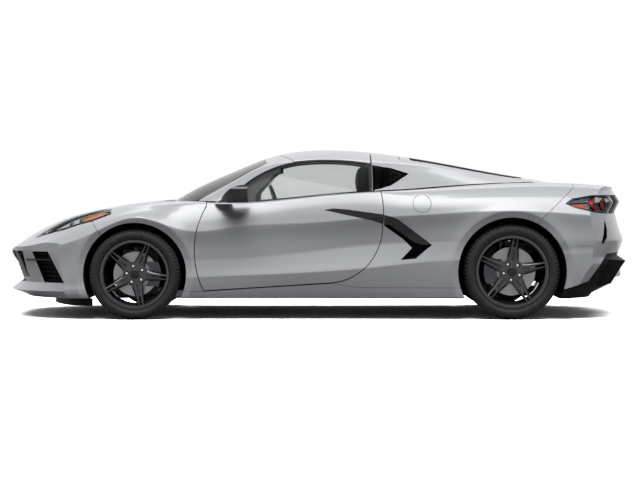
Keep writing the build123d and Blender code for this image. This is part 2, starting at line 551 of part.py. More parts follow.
TIP_Z, TIP_RADIUS = 350.0, 48.0
muffler = Pos(1960, 0, 370) * Box(240, 900, 150)
muffler = fillet(muffler.edges().filter_by(Axis.Y), 60)
TAIL_TIP_YS = (615.0, 735.0)
tips = []
for y in TAIL_TIP_YS:
    reach = along(2200 if y < 650 else 2160)
    tips.append(rod((2050, -y, TIP_Z), (reach, -y, TIP_Z), TIP_RADIUS)
                - rod((2080, -y, TIP_Z), (reach + 1, -y, TIP_Z), TIP_RADIUS - 4))
elbow = box(1900, 2060, -770, -430, TIP_Z - 40, TIP_Z + 40)
exhaust = largest(muffler + elbow + other_side(elbow) + tips + [other_side(t) for t in tips])
nodes["exhaust"] = exhaust
for y in TAIL_TIP_YS:
    for s in (-1, 1):
        nodes["rear_diffuser"] -= rod((1800, s * y, TIP_Z), (2600, s * y, TIP_Z), TIP_RADIUS + 8)

# ---------------------------------------------------------------- wheels and suspension
SPOKES = 5
TWIN_SPOKE = [  # (radius, half the slot, half the spoke's width) on the front wheel
    (40, 1.5, 38), (75, 2.0, 41), (120, 3.5, 36), (150, 5.0, 32), (190, 7.5, 27.5), (225, 8.5, 24.5), (260, 9.0, 24)]
WEB_END = 120.0               # inside this radius a twin spoke's slot is only a groove
GROOVE_DEPTH = 14.0           # of the groove and of the nuts' seats
LUG_CIRCLE, LUG_RADIUS = 60.0, 11.0
HUB_RADIUS, HUB_FACE = 82.0, 52.0     # the face lies this far inside the rim's edge
KINGPIN_Y = 770.0             # the steering axis stands upright through the arms' ends
EYE_DROP = 166.0              # from the axle to the nearer face of each arm's end
EYE = 14.0                    # thickness of an arm's end
PIN_RADIUS = 8.0
STUB_RADIUS = 24.0
DISC_Y = 815.0                # middle of the brake disc
PLATE_Y = 405.0               # inner pivots of the arms


class WheelSet:
    """Sizes of one axle's wheels: the left-hand wheel, drawn about its own centre, outboard to -Y."""

    def __init__(self, x, track, tyre_radius, tyre_width, rim_radius, rim_width, disc_radius, first_spoke):
        self.x, self.y, self.z, self.first_spoke = x, track / 2, tyre_radius, first_spoke
        self.tyre_radius, self.tyre_width = tyre_radius, tyre_width
        self.rim_radius, self.rim_width, self.disc_radius = rim_radius, rim_width, disc_radius


front = WheelSet(FRONT_AXLE_X, TRACK_FRONT, TYRE_RADIUS_FRONT, TYRE_WIDTH_FRONT, RIM_RADIUS_FRONT, 216.0, 160.0, 66.0)
rear = WheelSet(REAR_AXLE_X, TRACK_REAR, TYRE_RADIUS_REAR, TYRE_WIDTH_REAR, RIM_RADIUS_REAR, 279.0, 175.0, 84.0)


def turned(points):
    """Ring turned about the wheel axis from (y, radius) points."""
    face = make_face(Polyline(*[(y, r) for y, r in points], close=True))
    return revolve(face, Axis.X)


def wheel_frame(w):
    """Puts a piece turned about X onto the left-hand wheel's axis: +X becomes outboard."""
    return Pos(w.x, -w.y, w.z) * Rot(0, 0, -90)


def spoke_plan(w, column, first, last):
    """Flat outline about +Y of one twin spoke's edge or slot, between two radii on the front wheel's scale."""
    size = w.rim_radius / RIM_RADIUS_FRONT
    rows = [row for row in TWIN_SPOKE if first <= row[0] <= last]
    edge = [(row[0] * size, row[column] * size) for row in rows]
    return make_face(Polyline(*edge, *[(q, -v) for q, v in reversed(edge)], close=True))


def rim(w):
    """Barrel, twin spokes, hub, nuts and centre cap of one left-hand wheel."""
    half, r = w.rim_width / 2, w.rim_radius
    ring = turned([(half, r - 9), (half, r + 11), (half - 8, r + 11), (half - 14, r - 1), (half - 60, r - 6),
                   (half - 90, r - 22), (-half + 60, r - 22), (-half + 40, r - 6), (-half + 14, r - 1),
                   (-half + 8, r + 11), (-half, r + 11), (-half, r - 9), (-half + 30, r - 14),
                   (-half + 62, r - 30), (half - 92, r - 30), (half - 62, r - 14)])
    dish = turned([(half - 12, r - 4), (half - 30, r - 60), (half - 42, 120), (half - HUB_FACE, HUB_RADIUS),
                   (half - HUB_FACE, 0), (half - 78, 0), (half - 78, 90), (half - 66, 130), (half - 52, r - 40),
                   (half - 46, r - 10)])
    rough = Rot(0, 90, 0) * Cylinder(HUB_RADIUS, 300)
    slots, nuts = [], []
    for k in range(SPOKES):
        turn = Rot(w.first_spoke + 360 * k / SPOKES, 0, 0)
        rough += turn * extrude(Plane.YZ * spoke_plan(w, 2, 0, 300), amount=150)
        slots.append(turn * extrude(Plane.YZ * spoke_plan(w, 1, WEB_END, 300), amount=150))
        groove = Plane.YZ.offset(half - HUB_FACE - GROOVE_DEPTH) * spoke_plan(w, 1, 0, WEB_END)
        slots.append(turn * extrude(groove, amount=80))
        seat = turn * Rot(180 / SPOKES, 0, 0) * Pos(half - HUB_FACE - GROOVE_DEPTH, LUG_CIRCLE, 0) * Rot(0, 90, 0)
        slots.append(seat * Cylinder(LUG_RADIUS + 7, 60, align=(Align.CENTER, Align.CENTER, Align.MIN)))
        nuts.append(seat * extrude(RegularPolygon(LUG_RADIUS, 6), amount=GROOVE_DEPTH))
    cap = Pos(half - HUB_FACE, 0, 0) * Rot(0, 90, 0) * Cylinder(32, 8, align=(Align.CENTER, Align.CENTER, Align.MIN))
    return ring + ((rough & dish) - slots) + nuts + cap


def tyre(w):
    """Solid-section tyre with a real inside, a rounded shoulder and four grooves."""
    half, r, bead = w.tyre_width / 2, w.tyre_radius, w.rim_radius + 0.4
    rim_half = w.rim_width / 2 - 14.5
    outer = [(-rim_half, bead), (-rim_half + 2, bead + 14), (-half, (r + bead) / 2 - 6), (-half + 4, r - 34),
             (-half + 26, r - 8), (-half + 60, r - 1), (0, r)]
    inner = [(-half + 62, r - 14), (-half + 24, r - 30), (-half + 12, (r + bead) / 2), (-rim_half + 14, bead + 8),
             (-rim_half + 20, bead)]
    right_outer = [(-y, q) for y, q in reversed(outer[:-1])]
    right_inner = [(-y, q) for y, q in reversed(inner)]
    carcass = turned([*outer, *right_outer, *right_inner, *inner])
    for y in (-0.27, -0.09, 0.09, 0.27):
        carcass -= turned([(y * w.tyre_width - 5, r - 8), (y * w.tyre_width + 5, r - 8),
                           (y * w.tyre_width + 5, r + 5), (y * w.tyre_width - 5, r + 5)])
    return carcass


def disc(w):
    """Brake disc, its hat and the stub shaft that turns in the knuckle, about the wheel axis."""
    plane = DISC_Y - w.y
    seat = w.rim_width / 2 - 78.4
    stub_end = KINGPIN_Y - 24 - w.y
    return turned([(plane - 15, 80), (plane - 15, w.disc_radius), (plane + 15, w.disc_radius), (plane + 15, 88),
                   (seat, 88), (seat, 0), (stub_end, 0), (stub_end, STUB_RADIUS), (seat - 8, STUB_RADIUS),
                   (seat - 8, 80)])


def upright(w):
    """Plate and hub boss between the kingpin eyes of one left-hand wheel, in car coordinates."""
    plate = box(w.x - 32, w.x + 32, -KINGPIN_Y - 20, -KINGPIN_Y + 20, w.z - EYE_DROP, w.z + EYE_DROP)
    boss = barrel(w.x, w.z, 58, -KINGPIN_Y - 22, -KINGPIN_Y + 22)
    pins = [Pos(w.x, -KINGPIN_Y, w.z + s * (EYE_DROP + EYE / 2)) * Cylinder(PIN_RADIUS, EYE + 6) for s in (-1, 1)]
    return (plate + boss + pins) - barrel(w.x, w.z, STUB_RADIUS + 0.08, -KINGPIN_Y - 40, -KINGPIN_Y + 40)


def caliper(w, side):
    """Brake caliper and its bracket, on the side of the disc that side gives (+1 is the rear)."""
    ring = barrel(w.x, w.z, w.disc_radius + 26, -DISC_Y - 33, -DISC_Y + 36)
    ring -= barrel(w.x, w.z, 108, -DISC_Y - 34, -DISC_Y + 37)
    ring -= barrel(w.x, w.z, w.disc_radius + 5, -DISC_Y - 21, -DISC_Y + 21)
    ring &= box(*sorted((w.x + side * 60, w.x + side * 400)), -900, -700, w.z - 88, w.z + 88)
    bracket = box(*sorted((w.x + side * 45, w.x + side * 130)), -KINGPIN_Y - 20, -KINGPIN_Y + 10, w.z - 30, w.z + 30)
    return ring + bracket


def arms(w, damper_dx):
    """Lower and upper control arms, damper and subframe plate of one left-hand wheel."""
    pieces = []
    for s in (-1, 1):
        z = w.z + s * (EYE_DROP + EYE / 2 + 0.5)
        for dx in (-110, 110):
            pieces.append(rod((w.x + dx, -PLATE_Y, z), (w.x + dx / 12, -KINGPIN_Y + 6, z), (EYE - 2) / 2))
        pieces.append(Pos(w.x, -KINGPIN_Y, z) * Cylinder(20, EYE))
    pieces.append(box(w.x - 130, w.x + 130, -PLATE_Y - 6, -PLATE_Y + 24, w.z - EYE_DROP - 20, w.z + EYE_DROP + 20))
    foot = w.x + damper_dx
    pieces.append(rod((foot, -600, w.z - EYE_DROP - 2), (foot, -585, w.z + 355), 17))
    pieces.append(rod((foot, -590, w.z + 60), (foot, -586, w.z + 345), 32))
    holes = Pos(w.x, -KINGPIN_Y, w.z) * Cylinder(PIN_RADIUS + 0.08, 2 * EYE_DROP + 4 * EYE)
    return pieces, holes


def axle(w, with_uprights):
    """Both sides' arms joined by a crossmember, with fixed uprights and calipers where nothing steers."""
    pieces, holes = arms(w, -56 if with_uprights else 0)
    whole = pieces[0]
    for p in pieces[1:]:
        whole += p
    whole += box(w.x - 120, w.x + 120, -PLATE_Y + 20, 10, w.z - EYE_DROP - 20, w.z - EYE_DROP + 25)
    if with_uprights:
        whole -= barrel(w.x, w.z, 40, -PLATE_Y - 10, -PLATE_Y + 40)
        whole += upright(w)
        whole += caliper(w, -1)
    else:
        whole -= holes
    return largest(whole + other_side(whole))


nodes["front_suspension"] = axle(front, False)
nodes["rear_suspension"] = axle(rear, True)
knuckle = largest(upright(front) + caliper(front, 1))
nodes["knuckle_left"], nodes["knuckle_right"] = knuckle, other_side(knuckle)
half_shaft = rod((REAR_AXLE_X, -174, rear.z), (REAR_AXLE_X, -KINGPIN_Y + 26, rear.z), 15)
nodes["half_shafts"] = both(half_shaft)

for w, end in ((front, "front"), (rear, "rear")):
    for piece, name in ((rim(w), "wheel"), (tyre(w), "tyre"), (disc(w), "brake_disc")):
        left = wheel_frame(w) * piece
        nodes[f"{name}_{end}_left"], nodes[f"{name}_{end}_right"] = left, other_side(left)

# ---------------------------------------------------------------- steering wheel and mirrors
COLUMN_TILT = 20.0
WHEEL_CENTRE = (along(-312), -SEAT_Y, 800.0)
STEERING_RADIUS, RIM_SECTION = 168.0, 14.0
column = Pos(*WHEEL_CENTRE) * Rot(0, -COLUMN_TILT, 0)
steering = Rot(0, 90, 0) * Torus(STEERING_RADIUS, RIM_SECTION)
steering += Box(34, 2 * STEERING_RADIUS, 34) + Pos(0, 0, -STEERING_RADIUS / 2) * Box(28, 46, STEERING_RADIUS)
steering += Rot(0, 90, 0) * Cylinder(56, 46)
steering += Pos(-150, 0, 0) * Rot(0, 90, 0) * Cylinder(24, 280)
nodes["steering_wheel"] = column * steering
bore = column * (Pos(-300, 0, 0) * Rot(0, 90, 0) * Cylinder(32, 500))
nodes["dashboard"] = largest(nodes["dashboard"] - bore)

MIRROR = [(-712, 868), ((-650, 940), (-540, 972)), (-518, 965), (-518, 846), (-640, 838)]
mirror_side = side_prism(MIRROR, out(905), out(1040))
mirror_front = front_prism([(900, 840), (905, 950), ((980, 985), (1036, 950)), ((1045, 880), (1010, 845))], -1000, 0)
mirror_top = side_top_prism([(-516, 895), (-516, 1046), ((-646, 1030), (-716, 925)), (-716, 895)], 800, 1000)
head = mirror_side & mirror_front & mirror_top
stalk = loft([Pos(along(-700), -out(838), 846) * Rectangle(120, 24), Pos(along(-660), -out(920), 864) * Rot(35, 0, 0) * Rectangle(90, 18)])
nodes["mirror_left"] = head + stalk
nodes["mirror_right"] = other_side(nodes["mirror_left"])

os.makedirs("parts", exist_ok=True)
for name, piece in nodes.items():
    export_step(piece, f"parts/{name}.step")
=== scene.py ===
"""Silver mid-engined coupe: dense body panels, lamps, wheels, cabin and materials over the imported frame.

Lengths are written in millimetres and turned into metres when a mesh is made. Nose towards -X,
left-hand side towards -Y, ground at z = 0.
"""
import json
import math
from contextlib import contextmanager

import bmesh
import bpy
import numpy as np
from mathutils import Matrix, Vector

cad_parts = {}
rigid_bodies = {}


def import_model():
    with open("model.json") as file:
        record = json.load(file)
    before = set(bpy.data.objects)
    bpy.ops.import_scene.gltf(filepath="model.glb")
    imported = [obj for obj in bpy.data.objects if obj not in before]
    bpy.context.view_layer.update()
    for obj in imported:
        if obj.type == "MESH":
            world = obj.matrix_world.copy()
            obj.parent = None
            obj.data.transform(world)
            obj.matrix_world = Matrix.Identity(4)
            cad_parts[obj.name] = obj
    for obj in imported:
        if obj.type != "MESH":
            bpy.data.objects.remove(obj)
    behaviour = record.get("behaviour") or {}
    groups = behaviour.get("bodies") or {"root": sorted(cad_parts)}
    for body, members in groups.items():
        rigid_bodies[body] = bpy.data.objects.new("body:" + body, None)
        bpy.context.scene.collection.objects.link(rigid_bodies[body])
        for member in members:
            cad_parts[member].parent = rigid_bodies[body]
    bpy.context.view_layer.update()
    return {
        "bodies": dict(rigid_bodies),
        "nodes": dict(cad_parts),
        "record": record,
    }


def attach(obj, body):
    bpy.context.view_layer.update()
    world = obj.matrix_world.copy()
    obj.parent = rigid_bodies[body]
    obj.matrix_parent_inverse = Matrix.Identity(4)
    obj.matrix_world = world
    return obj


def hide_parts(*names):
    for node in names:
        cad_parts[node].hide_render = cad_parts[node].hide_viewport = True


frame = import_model()
nodes = frame["nodes"]
FAR = 2800.0

# ---------------------------------------------------------------- feature lines of the body (mm)
#    x     sill  ledge      cove       waist      belt       rail       top
#          y     y    z     y    z     y    z     y    z     y    z     z
STATIONS = np.array([
    (-2340, 850, 880, 205, 850, 300, 850, 455, 700, 462, 430, 460, 462),
    (-2200, 855, 885, 205, 860, 300, 862, 470, 700, 505, 430, 560, 572),
    (-2000, 880, 900, 207, 880, 300, 880, 515, 730, 596, 470, 672, 682),
    (-1800, 905, 915, 212, 905, 300, 912, 562, 760, 705, 510, 748, 752),
    (-1600, 925, 935, 225, 930, 330, 942, 645, 785, 772, 550, 795, 790),
    (-1337, 940, 950, 250, 950, 400, 957, 738, 800, 830, 590, 836, 815),
    (-1000, 905, 925, 295, 912, 430, 940, 650, 815, 846, 620, 850, 832),
    (-600, 888, 918, 318, 884, 440, 908, 672, 824, 836, 620, 850, 845),
    (-150, 886, 926, 338, 876, 480, 905, 697, 832, 874, 600, 880, 886),
    (350, 896, 936, 374, 876, 538, 920, 735, 842, 916, 600, 925, 930),
    (800, 920, 950, 420, 915, 560, 950, 762, 846, 942, 600, 955, 958),
    (1386, 945, 962, 440, 962, 560, 967, 785, 830, 972, 600, 985, 990),
    (1800, 930, 948, 470, 950, 560, 953, 765, 800, 976, 600, 982, 984),
    (2100, 900, 915, 480, 920, 560, 930, 740, 780, 955, 600, 960, 962),
    (2340, 860, 880, 480, 880, 560, 890, 720, 760, 930, 600, 935, 938),
], float)
#    x      base y z    rail y z    top z
ROOF_STATIONS = np.array([
    (-1185, 480, 790, 300, 796, 800),
    (-1000, 648, 800, 570, 838, 910),
    (-900, 706, 808, 665, 856, 963),
    (-650, 778, 812, 640, 992, 1072),
    (-400, 800, 822, 602, 1116, 1172),
    (-150, 812, 850, 582, 1152, 1224),
    (100, 820, 878, 574, 1160, 1234),
    (400, 824, 906, 564, 1148, 1215),
    (700, 812, 918, 546, 1132, 1174),
    (1050, 796, 930, 524, 1078, 1112),
    (1400, 776, 942, 530, 1020, 1048),
    (1700, 724, 950, 560, 978, 998),
    (1880, 680, 944, 560, 946, 958),
], float)
#    z     x0      x1    y1     x2    y2     x3    y3
NOSE_LEVELS = np.array([
    (100, -2170, -2085, 540, -1940, 740, -1790, 850),
    (155, -2200, -2120, 560, -1970, 770, -1810, 880),
    (203, -2315, -2222, 590, -2040, 800, -1850, 908),
    (262, -2238, -2150, 600, -2010, 788, -1850, 900),
    (478, -2315, -2222, 600, -2040, 800, -1840, 912),
    (1300, -2315, -2222, 600, -2040, 800, -1840, 912),
], float)
TAIL_LEVELS = np.array([
    (100, 1960, 1940, 600, 1880, 760, 1800, 840),
    (180, 2020, 2000, 600, 1930, 780, 1820, 880),
    (238, 2190, 2112, 600, 2026, 790, 1860, 922),
    (400, 2315, 2187, 650, 2090, 815, 1950, 938),
    (448, 2240, 2150, 650, 2074, 813, 1950, 940),
    (517, 2266, 2178, 650, 2090, 820, 1950, 945),
    (568, 2280, 2191, 650, 2098, 822, 1950, 947),
    (671, 2246, 2158, 650, 2080, 812, 1950, 942),
    (767, 2222, 2134, 640, 2062, 802, 1945, 935),
    (848, 2257, 2168, 640, 2078, 803, 1930, 925),
    (935, 2202, 2116, 630, 2044, 775, 1930, 895),
    (1300, 2202, 2116, 630, 2044, 775, 1930, 895),
], float)
SILL_Z = 152.0
AXLES = ((-1337.0, 327.0, 372.0), (1386.0, 345.5, 392.0))      # x, z and arch radius


# ---------------------------------------------------------------- curves
def natural_spline(x, y, at):
    """Natural cubic spline through (x, y), read at the values at. y may have several columns."""
    x, y = np.asarray(x, float), np.asarray(y, float)
    n, h = len(x), np.diff(x)
    a = np.zeros((n, n))
    b = np.zeros_like(y)
    a[0, 0] = a[-1, -1] = 1
    slope = (np.diff(y, axis=0).T / h).T
    for i in range(1, n - 1):
        a[i, i - 1], a[i, i], a[i, i + 1] = h[i - 1], 2 * (h[i - 1] + h[i]), h[i]
        b[i] = 6 * (slope[i] - slope[i - 1])
    m = np.linalg.solve(a, b)
    k = np.clip(np.searchsorted(x, at) - 1, 0, n - 2)
    t0, t1, hk = at - x[k], x[k + 1] - at, h[k]
    if y.ndim > 1:
        t0, t1, hk = t0[:, None], t1[:, None], hk[:, None]
    return (m[k] * t1 ** 3 + m[k + 1] * t0 ** 3) / (6 * hk) + (y[k] / hk - m[k] * hk / 6) * t1 + \
        (y[k + 1] / hk - m[k + 1] * hk / 6) * t0


def rounded(points, radii, bulges, per_corner=5, per_side=4):
    """Rows of points joined by bulged sides, with each inner corner rounded (rows x sections x 2)."""
    rows = []
    last = len(points) - 1
    cuts_in, cuts_out = [], []
    for i, p in enumerate(points):
        r = np.reshape(radii[i], (-1, 1))
        a = points[i - 1] if i else p
        b = points[i + 1] if i < last else p
        la = np.linalg.norm(a - p, axis=1, keepdims=True) + 1e-9
        lb = np.linalg.norm(b - p, axis=1, keepdims=True) + 1e-9
        cuts_in.append(p + (a - p) * np.minimum(r / la, 0.45))
        cuts_out.append(p + (b - p) * np.minimum(r / lb, 0.45))
    for i, p in enumerate(points):
        if i == 0 or i == last or np.max(radii[i]) == 0:
            rows.append(p)
            start = p
        else:
            for t in np.linspace(0, 1, per_corner):
                rows.append((1 - t) ** 2 * cuts_in[i] + 2 * t * (1 - t) * p + t * t * cuts_out[i])
            start = cuts_out[i]
        if i < last:
            end = points[i + 1] if (i + 1 == last or np.max(radii[i + 1]) == 0) else cuts_in[i + 1]
            d = end - start
            normal = np.stack([d[:, 1], -d[:, 0]], 1) / (np.linalg.norm(d, axis=1, keepdims=True) + 1e-9)
            for t in np.linspace(0, 1, per_side + 2)[1:-1]:
                rows.append(start + d * t + normal * bulges[i] * 4 * t * (1 - t))
    return rows


# ---------------------------------------------------------------- meshes
def mesh_object(name, verts, faces):
    """Object from millimetre vertices, linked to the scene."""
    mesh = bpy.data.meshes.new(name)
    mesh.from_pydata([tuple(v) for v in np.asarray(verts, float) * 0.001], [], faces)
    mesh.update()
    obj = bpy.data.objects.new(name, mesh)
    bpy.context.scene.collection.objects.link(obj)
    return obj


@contextmanager
def edited(obj):
    """The object's mesh as a bmesh, written back at the end."""
    bm = bmesh.new()
    bm.from_mesh(obj.data)
    yield bm
    bm.to_mesh(obj.data)
    bm.free()


def tube(name, rings):
    """Closed solid through rings of equal point count (rings x points x 3), with flat ends."""
    rings = np.asarray(rings, float)
    r, n, _ = rings.shape
    faces = []
    for i in range(r - 1):
        for j in range(n):
            k = (j + 1) % n
            faces.append((i * n + j, i * n + k, (i + 1) * n + k, (i + 1) * n + j))
    faces.append(tuple(reversed(range(n))))
    faces.append(tuple(range((r - 1) * n, r * n)))
    obj = mesh_object(name, rings.reshape(-1, 3), faces)
    with edited(obj) as bm:
        bmesh.ops.triangulate(bm, faces=[f for f in bm.faces if len(f.verts) > 4])
        bmesh.ops.recalc_face_normals(bm, faces=bm.faces)
    return obj


def baked(obj):
    """Applies the object's modifiers."""
    deps = bpy.context.evaluated_depsgraph_get()
    mesh = bpy.data.meshes.new_from_object(obj.evaluated_get(deps))
    obj.modifiers.clear()
    old, obj.data = obj.data, mesh
    bpy.data.meshes.remove(old)
    return obj


def copy_of(obj, name=None):
    new = obj.copy()
    new.data = obj.data.copy()
    new.name = name or obj.name
    bpy.context.scene.collection.objects.link(new)
    return new


def combine(obj, others, operation):
    """Boolean of obj with each of the others, in place."""
    for other in others:
        m = obj.modifiers.new("b", "BOOLEAN")
        m.operation, m.solver, m.object = operation, "MANIFOLD", other
        baked(obj)
    return obj


def cut(obj, *others):
    return combine(obj, others, "DIFFERENCE")


def keep(obj, *others):
    return combine(obj, others, "INTERSECT")


def join(obj, *others):
    return combine(obj, others, "UNION")


def moved(obj, x, y, z):
    """Moves the object's points by this many millimetres."""
    obj.data.transform(Matrix.Translation((x / 1000, y / 1000, z / 1000)))
    return obj


def mirrored(obj, name, y=0.0):
    """Copy of a piece, mirrored in the upright plane at this y."""
    new = copy_of(obj, name)
    new.data.transform(Matrix.Translation((0, 2 * y / 1000, 0)) @ Matrix.Scale(-1, 4, (0, 1, 0)))
    new.data.flip_normals()
    return new


def pair(obj):
    """A left-hand cutter and its mirror image."""
    return [obj, mirrored(obj, obj.name + "_m")]


def biggest(obj):
    """Keeps only the largest loose piece of a mesh."""
    with edited(obj) as bm:
        seen, groups = set(), []
        for v in bm.verts:
            if v in seen:
                continue
            stack, group = [v], []
            seen.add(v)
            while stack:
                w = stack.pop()
                group.append(w)
                for o in (e.other_vert(w) for e in w.link_edges):
                    if o not in seen:
                        seen.add(o)
                        stack.append(o)
            groups.append(group)
        groups.sort(key=len, reverse=True)
        for g in groups[1:]:
            bmesh.ops.delete(bm, geom=g, context="VERTS")
    return obj


# ---------------------------------------------------------------- body envelopes
BAND, TURN_IN, RISE = 46.0, 13.0, 9.0      # arch facet: its width, how far it turns in, the swell outside it
DROP = 140.0                               # how far the cabin reaches down into the lower body


def arch_lip(x, y, z):
    """Swells the skin softly outwards towards the facet round each wheel arch."""
    extra = np.zeros_like(x)
    for ax, az, ar in AXLES:
        t = np.clip((ar + 2.6 * BAND - np.hypot(x - ax, z - az)) / (1.6 * BAND), 0, 1)
        extra += RISE * t * t * (3 - 2 * t)
    return y + np.sign(y) * extra * (np.abs(y) > 600)


def crowned(xs, rows, ry, rail_z, top, steps):
    """Rings round the body: the left half's rows, a crown from rail to middle, and their mirror image."""
    for t in np.linspace(0, 1, steps)[1:]:
        y = ry * 0.8 * (1 - t)
        rows.append(np.stack([y, top + (rail_z - top) * (y / ry) ** 2], 1))
    half = np.stack(rows, 1)                                  # sections x points x 2
    left = np.stack([np.repeat(xs[:, None], half.shape[1], 1), -half[:, :, 0], half[:, :, 1]], 2)
    right = left[:, -2:0:-1].copy()
    right[:, :, 1] *= -1
    return np.concatenate([left, right], 1)


def lower_solid(grow, step):
    """Lower body, moved outwards by grow, with a station every step."""
    xs = np.arange(-2340, 2341, step)
    s = natural_spline(STATIONS[:, 0], STATIONS[:, 1:], xs)
    sy, ly, lz, cy, cz, wy, wz, by, bz, ry, rz, tz = s.T
    g, low, top = grow, 0 * sy + SILL_Z - grow, tz + grow
    rail = np.stack([ry + g, rz + g], 1)
    inner = np.stack([ry * 0.8, top + (rail[:, 1] - top) * 0.64], 1)
    pts = [np.stack(p, 1) for p in ((0 * sy, low), (sy + g, low), (ly + g, lz), (cy + g, cz),
                                    (wy + g, wz), (by + g, bz + g))] + [rail, inner]
    belt_radius = np.interp(xs, (-1150, -850, 380, 620), (60, 10, 10, 62))
    rows = rounded(pts, (0, 14, 5, 16, 8, belt_radius, 60, 0), (0, 3, -3, -7, 8, 5, 0))
    rings = crowned(xs, rows, ry, rail[:, 1], top, 14)
    if grow > -10:
        rings[:, :, 1] = arch_lip(*np.moveaxis(rings, 2, 0))
    return tube("lower", rings)


def plan_solid(levels, end, grow, name):
    """Block behind the nose's outline (end -1) or ahead of the tail's (end 1), moved outwards by grow."""
    zs = levels[:, 0]
    curves = []
    for z, x0, x1, y1, x2, y2, x3, y3 in levels:
        p = np.array([(x3, -y3), (x2, -y2), (x1, -y1), (x0, 0), (x1, y1), (x2, y2), (x3, y3)], float)
        p[:, 0] += end * grow
        p[:, 1] += np.sign(p[:, 1]) * grow
        d = np.concatenate([[0], np.cumsum(np.hypot(*np.diff(p, axis=0).T))])
        curves.append(natural_spline(d, p, np.linspace(0, d[-1], 97)))
    curves = np.array(curves)                                 # levels x points x 2
    fine = np.concatenate([np.linspace(a, b, 7)[:-1] for a, b in zip(zs[:-2], zs[1:-1])] + [[zs[-2], 1300]])
    flat = curves.reshape(len(zs), -1)
    rows = np.stack([np.interp(fine, zs, flat[:, k]) for k in range(flat.shape[1])], 1)
    rows = rows.reshape(len(fine), -1, 2)
    rings = []
    for z, row in zip(fine, rows):
        back = np.array([(-end * FAR, FAR), (-end * FAR, -FAR)])
        start, stop = row[-1], row[0]
        ring = np.concatenate([row, [(start[0], FAR)], back, [(stop[0], -FAR)]])
        rings.append(np.column_stack([ring, np.full(len(ring), z)]))
    return tube(name, np.array(rings))


def cabin_solid(grow, step=16.0):
    """Cabin and rear deck, moved outwards by grow and reaching DROP below their base line."""
    xs = np.arange(-1185, 1881, step)
    xs[-1] = 1880
    by, bz, ry, rz, tz = natural_spline(ROOF_STATIONS[:, 0], ROOF_STATIONS[:, 1:], xs).T
    g, top = grow, tz + grow
    rail = np.stack([ry + g, rz + g], 1)
    inner = np.stack([ry * 0.8, top + (rail[:, 1] - top) * 0.64], 1)
    pts = [np.stack([0 * by, bz - DROP], 1), np.stack([by + g, bz - DROP], 1), np.stack([by + g, bz], 1),
           rail, inner]
    rows = rounded(pts, (0, 0, 20, 46, 0), (0, 0, 9, 0), per_corner=7, per_side=6)
    return tube("cabin", crowned(xs, rows, ry, rail[:, 1], top, 12))


# ---------------------------------------------------------------- outlines and cutters
CABIN_SIDE, SKY, AHEAD = 300.0, 1600.0, -2600.0     # ends of cutters: inside the side, above, in front


def path(steps):
    """Points along steps: a point is reached by a line, a (mid, end) pair by an arc."""
    pts = [np.array(steps[0], float)]
    for step in steps[1:]:
        if not isinstance(step[0], tuple):
            pts.append(np.array(step, float))
            continue
        a, m, b = pts[-1], np.array(step[0], float), np.array(step[1], float)
        # circle through a, m and b
        d = 2 * (a[0] * (m[1] - b[1]) + m[0] * (b[1] - a[1]) + b[0] * (a[1] - m[1]))
        sq = [p @ p for p in (a, m, b)]
        c = np.array([(sq[0] * (m[1] - b[1]) + sq[1] * (b[1] - a[1]) + sq[2] * (a[1] - m[1])) / d,
                      (sq[0] * (b[0] - m[0]) + sq[1] * (a[0] - b[0]) + sq[2] * (m[0] - a[0])) / d])
        ang = [math.atan2(*(p - c)[::-1]) for p in (a, m, b)]
        turn = (ang[2] - ang[0]) % (2 * math.pi)
        if (ang[1] - ang[0]) % (2 * math.pi) > turn:
            turn -= 2 * math.pi
        r = np.linalg.norm(a - c)
        for t in np.linspace(0, 1, 17)[1:]:
            w = ang[0] + turn * t
            pts.append(c + r * np.array([math.cos(w), math.sin(w)]))
    return pts


def grown(pts, amount):
    """Closed outline moved outwards by amount, corner by corner."""
    pts = [p for k, p in enumerate(pts) if np.linalg.norm(p - pts[k - 1]) > 1e-6]
    area = sum(p[0] * q[1] - q[0] * p[1] for p, q in zip(pts, pts[1:] + pts[:1]))
    if area < 0:
        pts = pts[::-1]
    if not amount:
        return pts
    new = []
    for k, p in enumerate(pts):
        a, b = p - pts[k - 1], pts[(k + 1) % len(pts)] - p
        na, nb = (np.array([d[1], -d[0]]) / np.linalg.norm(d) for d in (a, b))
        n = na + nb
        new.append(p + n * amount / max(0.35, n @ na))
    return new


def prism(steps, lo, hi, spot, grow=0.0, name="cutter"):
    """Closed solid between two planes: spot(u, v, w) turns an outline point and a depth into x, y, z."""
    pts = grown(path(steps), grow)
    rings = [[spot(u, v, w) for u, v in pts] for w in (lo, hi)]
    return tube(name, rings)


def side_prism(steps, y_in=CABIN_SIDE, y_out=FAR, grow=0.0):
    """Outline in side view, cut into the left side."""
    return prism(steps, y_in, y_out, lambda u, v, w: (u, -w, v), grow)


def across_prism(steps, grow=0.0):
    """Outline in side view, cut across the whole car."""
    return prism(steps, -FAR, FAR, lambda u, v, w: (u, w, v), grow)


def plan_prism(steps, lo, grow=0.0, hi=SKY):
    """Outline from above of a thing on the left."""
    return prism(steps, lo, hi, lambda u, v, w: (u, -v, w), grow)


def top_prism(half, lo, grow=0.0, hi=SKY):
    """Outline from above, given by half and mirrored in the middle."""
    pts = path(half)
    left = [(p[0], -p[1]) for p in reversed(pts) if p[1] > 1e-6]
    return prism([tuple(p) for p in pts] + left, lo, hi, lambda u, v, w: (u, v, w), grow)


def front_prism(steps, hi, grow=0.0, lo=AHEAD):
    """Outline from the front of a thing on the left."""
    return prism(steps, lo, hi, lambda u, v, w: (w, -u, v), grow)


def barrel(x, z, r, y0, y1, n=128):
    """Cylinder across the car."""
    a = [2 * math.pi * k / n for k in range(n)]
    return tube("barrel", [[(x + r * math.cos(t), y, z + r * math.sin(t)) for t in a] for y in (y0, y1)])


